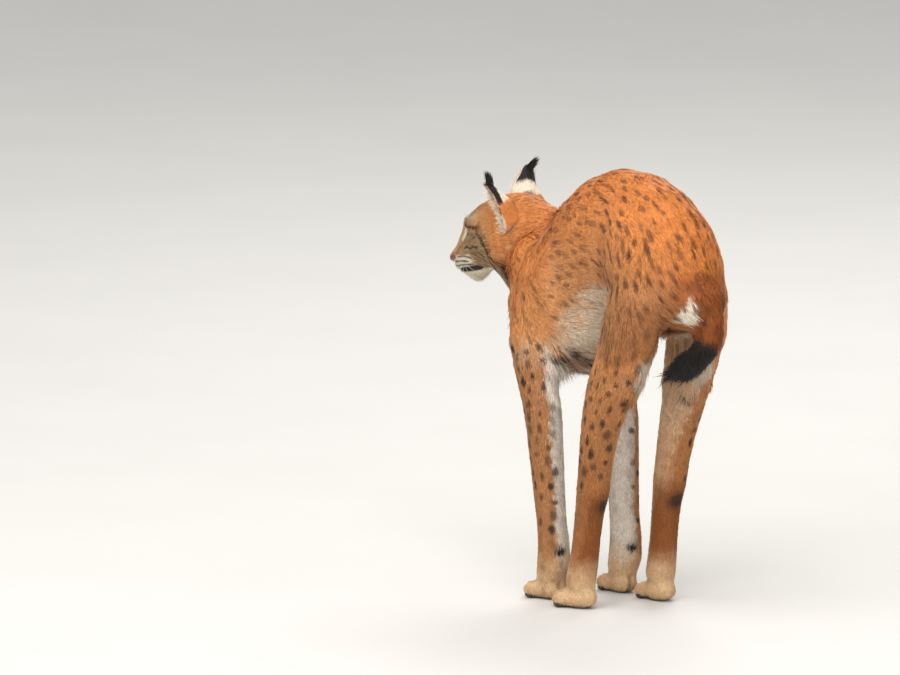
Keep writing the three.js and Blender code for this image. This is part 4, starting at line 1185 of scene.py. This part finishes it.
def makeCoat():
    kind, region = tufts["kind"], tufts["region"]
    names = ("Trunk", "Neck", "Tail", "ForelegLeft", "ForelegRight", "HindlegLeft", "HindlegRight")
    groups = {f"coat{name}": (kind == 0) & (region == k) for k, name in enumerate(names)}
    groups.update({"coatHead": kind == 1, "coatEars": kind > 1})
    number = 0
    for name, share in groups.items():
        chosen = np.flatnonzero(share)
        chosen = chosen[np.argsort(tufts["v"][chosen])]
        pieces = max(1, math.ceil(len(chosen) / coat["most"]))
        for k, part in enumerate(np.array_split(chosen, pieces)):
            u, v = tufts["u"][part], tufts["v"][part]
            v = (v - v.min()) / (v.max() - v.min() + 1e-9)
            if name == "coatEars":
                quarter = (region[part] - 10) // 10 * 2 + (region[part] - 10) % 10
                u, v = (u + (quarter % 2)) / 2, (v + (quarter // 2)) / 2
            uv = np.stack((0.01 + 0.98 * u, 0.01 + 0.98 * v), -1)
            tuftMesh(f"{name}{k + 1}" if pieces > 1 else name, part, uv)
            number += 1
    return number


report(f"{makeCoat()} coat pieces, {len(tufts['at']) * len(tuftFaces)} triangles")

# Eyes
eyes = {"radius": 0.0129, "gaze": 15, "iris": 0.0078, "cornea": 0.0011,
        "rings": 32, "around": 40, "mapReach": 0.0122}
irisStops = [  # from the middle of the pupil outwards
    (0.0, (0.004, 0.004, 0.004)), (0.285, (0.006, 0.005, 0.004)), (0.310, (0.20, 0.11, 0.030)),
    (0.46, (0.50, 0.31, 0.08)), (0.66, (0.42, 0.23, 0.05)), (0.76, (0.10, 0.045, 0.012)),
    (0.80, (0.012, 0.008, 0.006)), (0.94, (0.06, 0.04, 0.035)),
]


def eyeMaterial():
    material, tree, shader = newMaterial("wetEye", 0.06)
    uv = addNode(tree, "ShaderNodeUVMap", {}, uv_map="gaze").outputs["UV"]
    split = addNode(tree, "ShaderNodeSeparateXYZ", {"Vector": uv})
    stretch = addNode(tree, "ShaderNodeMapping", {"Scale": (60.0, 5.0, 1.0), "Vector": uv})
    fibres = addNode(tree, "ShaderNodeTexNoise", {"Scale": 1.0, "Vector": stretch.outputs["Vector"]})
    inputs = {0: fibres.outputs["Fac"], 1: 0.10, 2: split.outputs["Y"]}
    wobble = addNode(tree, "ShaderNodeMath", inputs, operation="MULTIPLY_ADD")
    feed(tree, shader, {"Coat Weight": 1.0, "Coat Roughness": 0.02,
                        "Base Color": rampNode(tree, wobble.outputs["Value"], irisStops)})
    return material


eyeFinish = eyeMaterial()


def makeEye(name, side):
    gaze = math.radians(eyes["gaze"])
    ahead = np.array([side * math.sin(gaze), math.cos(gaze), -0.05])
    ahead /= np.linalg.norm(ahead)
    right = unit(np.cross(ahead, [0, 0, 1.0]))
    over = np.cross(right, ahead)
    angle, roll, faces = ballGrid(eyes["rings"], eyes["around"])
    bulge = eyes["cornea"] * smooth(eyes["iris"] * 1.15 / eyes["radius"], 0.0, angle)
    reach = eyes["radius"] + bulge
    local = (np.cos(angle)[..., None] * ahead + np.sin(angle)[..., None] * (
        np.cos(roll)[..., None] * right + np.sin(roll)[..., None] * over)) * reach[..., None]
    centre = np.array(head["eye"]) * np.array([side, 1, 1])
    piece = meshObject(name, fromHead((local + centre).reshape(-1, 3)), faces, eyeFinish)
    uv = np.stack((roll / (2 * math.pi), angle * eyes["radius"] / eyes["mapReach"]), -1).reshape(-1, 2)
    setPlaces(piece, "gaze", uv, faces)
    return piece


for label, side in (("left", -1), ("right", 1)):
    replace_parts(makeEye(f"eyeball_{label}", side), f"eye_{label}")
report("eyes")

# Nose leather
def leatherMaterial(name, dark, light, scale, depth, roughness):
    material, tree, shader = newMaterial(name, roughness)
    inputs = {"Scale": scale, "Vector": placeIn(tree)}
    grain = addNode(tree, "ShaderNodeTexVoronoi", inputs, feature="DISTANCE_TO_EDGE")
    patch = noiseNode(tree, scale * 0.15, 4)
    feed(tree, shader, {
        "Base Color": rampNode(tree, patch, [(0.35, dark), (0.65, light)]),
        "Roughness": rangeNode(tree, patch, roughness - 0.08, roughness + 0.12),
        "Normal": bumpNode(tree, grain.outputs["Distance"], 0.8, depth)})
    return material


noseFinish = leatherMaterial("noseLeather", (0.135, 0.054, 0.031), (0.300, 0.135, 0.080), 900, 0.0004, 0.42)
padFinish = leatherMaterial("padLeather", (0.020, 0.014, 0.012), (0.055, 0.040, 0.035), 700, 0.0004, 0.6)


def makeNose():
    step = nose["voxel"]
    first = np.floor(np.array(nose["low"]) / step).astype(int)
    last = np.ceil(np.array(nose["high"]) / step).astype(int)
    field = {"values": np.zeros(tuple(last - first + 1), dtype=np.float32), "first": first, "voxel": step}
    p = gridPoints(field)
    m = mirrored(p)
    values = ballField(p, *nose["tip"])
    values = roundUnion(values, ballField(m, *nose["wing"]), 0.004)
    values = roundUnion(values, ballField(p, (0, 0.1145, -0.0275), (0.0052, 0.0100, 0.0085)), 0.004)
    values = roundCut(values, ballField(m, (0.0086, 0.1235, -0.0234), (0.0036, 0.0085, 0.0036)), 0.0012)
    values = roundCut(values, lineField(m, [(.0095, .1215, -.0236), (.0162, .1150, -.0212)], 0.0016), 0.0012)
    values = roundCut(values, lineField(p, [(0, .1225, -.018), (0, .1200, -.036)], 0.0007), 0.0012)
    field["values"] = values.reshape(field["values"].shape).astype(np.float32)
    points, quads = keepBiggest(*surfaceOf(field))
    piece = meshObject("noseLeather", fromHead(points), quads, noseFinish)
    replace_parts(piece, "nose")


makeNose()

# Pads under the paws
def makePads():
    points, faces = [], []
    angle, roll, ballFaces = ballGrid(rings=10, around=16)
    ball = np.stack((np.sin(angle) * np.cos(roll), np.sin(angle) * np.sin(roll), np.cos(angle)), -1)
    ball = ball.reshape(-1, 3)
    for (fx, fy), turn in paws.values():
        spin = np.array(Matrix.Rotation(math.radians(turn), 3, "Z"))
        places = [((x, y, 0.0058), (0.0075, 0.0105, 0.0055)) for x, y in zip(toes["across"], toes["ahead"])]
        places += [((0, 0.004, 0.0058), (0.0165, 0.0130, 0.0055))]
        for at, radii in places:
            faces.append(ballFaces + len(ball) * len(points))
            points.append((ball * np.array(radii)) @ spin.T + (spin @ np.array(at) + np.array([fx, fy, 0])))
    meshObject("pads", np.concatenate(points), np.concatenate(faces), padFinish)


makePads()
report("nose and pads")

# Whiskers, by Geometry Nodes
whisker = {"rows": 3, "each": 4, "longest": 0.062, "thick": 0.00021, "points": 10, "seed": 3,
           "brows": 3, "browLong": 0.034}


def whiskerTree():  # thin tapered tubes along the lines of a mesh
    tree = bpy.data.node_groups.new("whiskers", "GeometryNodeTree")
    keys = {name: tree.interface.new_socket(name, in_out="INPUT", socket_type=f"NodeSocket{kind}").identifier
            for name, kind in (("Geometry", "Geometry"), ("Thickness", "Float"), ("Material", "Material"))}
    tree.interface.new_socket("Geometry", in_out="OUTPUT", socket_type="NodeSocketGeometry")
    start = addNode(tree, "NodeGroupInput", {})
    lines = addNode(tree, "GeometryNodeMeshToCurve", {"Mesh": start.outputs["Geometry"]})
    taper = addNode(tree, "GeometryNodeInputNamedAttribute", {"Name": "taper"}, data_type="FLOAT")
    thinned = addNode(tree, "GeometryNodeSetCurveRadius", {
        "Curve": lines.outputs["Curve"], "Radius": taper.outputs["Attribute"]})
    circle = addNode(tree, "GeometryNodeCurvePrimitiveCircle", {
        "Resolution": 5, "Radius": start.outputs["Thickness"]})
    sweep = addNode(tree, "GeometryNodeCurveToMesh", {
        "Curve": thinned.outputs["Curve"], "Profile Curve": circle.outputs["Curve"], "Fill Caps": True})
    real = addNode(tree, "GeometryNodeRealizeInstances", {"Geometry": sweep.outputs["Mesh"]})
    finish = addNode(tree, "GeometryNodeSetMaterial", {
        "Geometry": real.outputs["Geometry"], "Material": start.outputs["Material"]})
    addNode(tree, "NodeGroupOutput", {"Geometry": finish.outputs["Geometry"]})
    return tree, keys


def makeWhiskers():
    draw = np.random.default_rng(whisker["seed"])
    lines = []
    for side in (-1, 1):
        for row in range(whisker["rows"]):
            for k in range(whisker["each"]):
                back = k / (whisker["each"] - 1)
                low = -0.025 - 0.0065 * row - 0.002 * back
                root = np.array([0.019 + 0.010 * back, 0.108 - 0.020 * back, low])
                length = whisker["longest"] * (0.35 + 0.65 * back) * draw.uniform(0.75, 1.05)
                aim = np.array([0.85 + 0.1 * row, 0.25 - 0.9 * back, 0.12 - 0.22 * row])
                lines.append((side, root, unit(aim + draw.normal(0, 0.07, 3)), length, -0.35))
        for k in range(whisker["brows"]):
            root = np.array([0.024 + 0.005 * k, 0.066 - 0.003 * k, 0.044])
            aim = unit(np.array([0.25 + 0.12 * k, 0.75, 0.75]) + draw.normal(0, 0.10, 3))
            lines.append((side, root, aim, whisker["browLong"] * draw.uniform(0.7, 1.1), -0.8))
    points, edges, taper = [], [], []
    for side, root, aim, length, bend in lines:
        t = np.linspace(0, 1, whisker["points"])[:, None]
        path = root - aim * 0.004 + aim * length * t + np.array([0, 1.0, 0.35]) * bend * length * 0.45 * t * t
        path = fromHead(path * np.array([side, 1, 1]))
        edges += [(len(points) + i, len(points) + i + 1) for i in range(len(path) - 1)]
        points += list(path)
        taper += list(np.clip(1.05 - t[:, 0], 0.08, 1))
    mesh = bpy.data.meshes.new("whiskerLines")
    mesh.from_pydata([tuple(v) for v in points], edges, [])
    layer = mesh.attributes.new("taper", "FLOAT", "POINT")
    layer.data.foreach_set("value", np.array(taper, dtype=np.float32))
    lineObject = placed("whiskerLines", mesh)
    material, tree, shader = newMaterial("whiskerHair", 0.35)
    ends = [(0.0, (0.55, 0.50, 0.44)), (1.0, (0.90, 0.87, 0.82))]
    feed(tree, shader, {"Base Color": rampNode(tree, noiseNode(tree, 90, 3), ends)})
    nodes, keys = whiskerTree()
    modifier = lineObject.modifiers.new("sweep", "NODES")
    modifier.node_group = nodes
    modifier[keys["Thickness"]] = whisker["thick"]
    modifier[keys["Material"]] = material
    graph = bpy.context.evaluated_depsgraph_get()
    made = bpy.data.meshes.new_from_object(lineObject.evaluated_get(graph))
    bpy.data.objects.remove(lineObject)
    piece = placed("whiskers", made)
    made.shade_smooth()
    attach(piece, "root")


makeWhiskers()
report("whiskers")

# Floor, light and camera
view = {"azimuth": -35, "elevation": 10, "distance": 30.0, "pixelsPerCm": 6.06, "frame": (900, 675),
        "aim": (0.001, 0.001, 0), "place": (597, 597)}  # the place in the frame that aim falls on
lamps = {  # azimuth, elevation, distance, size, power, tint
    "keySoftbox": (-62, 54, 4.0, 4.4, 160, (1.0, 0.97, 0.93)),
    "fillSoftbox": (-20, 12, 4.5, 3.4, 48, (1.0, 0.98, 0.96)),
    "backSoftbox": (130, 45, 4.5, 2.4, 90, (1.0, 0.98, 0.95)),
}


def makeStage():
    bpy.ops.mesh.primitive_plane_add(size=40)
    floor = bpy.context.object
    floor.name = "floor"
    material, tree, shader = newMaterial("paleFloor", 0.8)
    ends = [(0.0, (0.60, 0.59, 0.57)), (1.0, (0.64, 0.63, 0.61))]
    feed(tree, shader, {"Base Color": rampNode(tree, noiseNode(tree, 3.0, 2), ends)})
    floor.data.materials.append(material)
    world = bpy.data.worlds.new("studio")
    world.use_nodes = True
    background = world.node_tree.nodes["Background"]
    feed(world.node_tree, background, {"Color": (0.93, 0.93, 0.92, 1), "Strength": 0.78})
    bpy.context.scene.world = world
    bpy.context.scene.view_settings.view_transform = "Standard"


def makeLamp(name, azimuth, elevation, distance, size, power, tint):
    lamp = bpy.data.lights.new(name, "AREA")
    lamp.shape = "DISK"
    lamp.size = size
    lamp.energy = power
    lamp.color = tint
    holder = placed(name, lamp)
    a, e = math.radians(azimuth), math.radians(elevation)
    away = Vector((math.sin(a) * math.cos(e), -math.cos(a) * math.cos(e), math.sin(e)))
    holder.location = Vector((0, 0, 0.4)) + away * distance
    holder.rotation_euler = (-away).to_track_quat("-Z", "Y").to_euler()


def makeCamera():
    a, e = math.radians(view["azimuth"]), math.radians(view["elevation"])
    ahead = Vector((-math.sin(a) * math.cos(e), math.cos(a) * math.cos(e), -math.sin(e)))
    right = Vector((math.cos(a), math.sin(a), 0))
    up = right.cross(ahead)
    metre = view["pixelsPerCm"] * 100
    acrossOff, downOff = (place - size / 2 for place, size in zip(view["place"], view["frame"]))
    aim = Vector(view["aim"]) - right * (acrossOff / metre) + up * (downOff / metre)
    camera = bpy.data.cameras.new("camera")
    camera.sensor_width = 36
    camera.lens = camera.sensor_width * view["distance"] / (view["frame"][0] / metre)
    camera.clip_end = 100
    holder = placed("camera", camera)
    holder.location = aim - ahead * view["distance"]
    holder.rotation_euler = ahead.to_track_quat("-Z", "Y").to_euler()
    bpy.context.scene.camera = holder


makeStage()
for name, lamp in lamps.items():
    makeLamp(name, *lamp)
makeCamera()
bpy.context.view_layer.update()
report("scene ready")
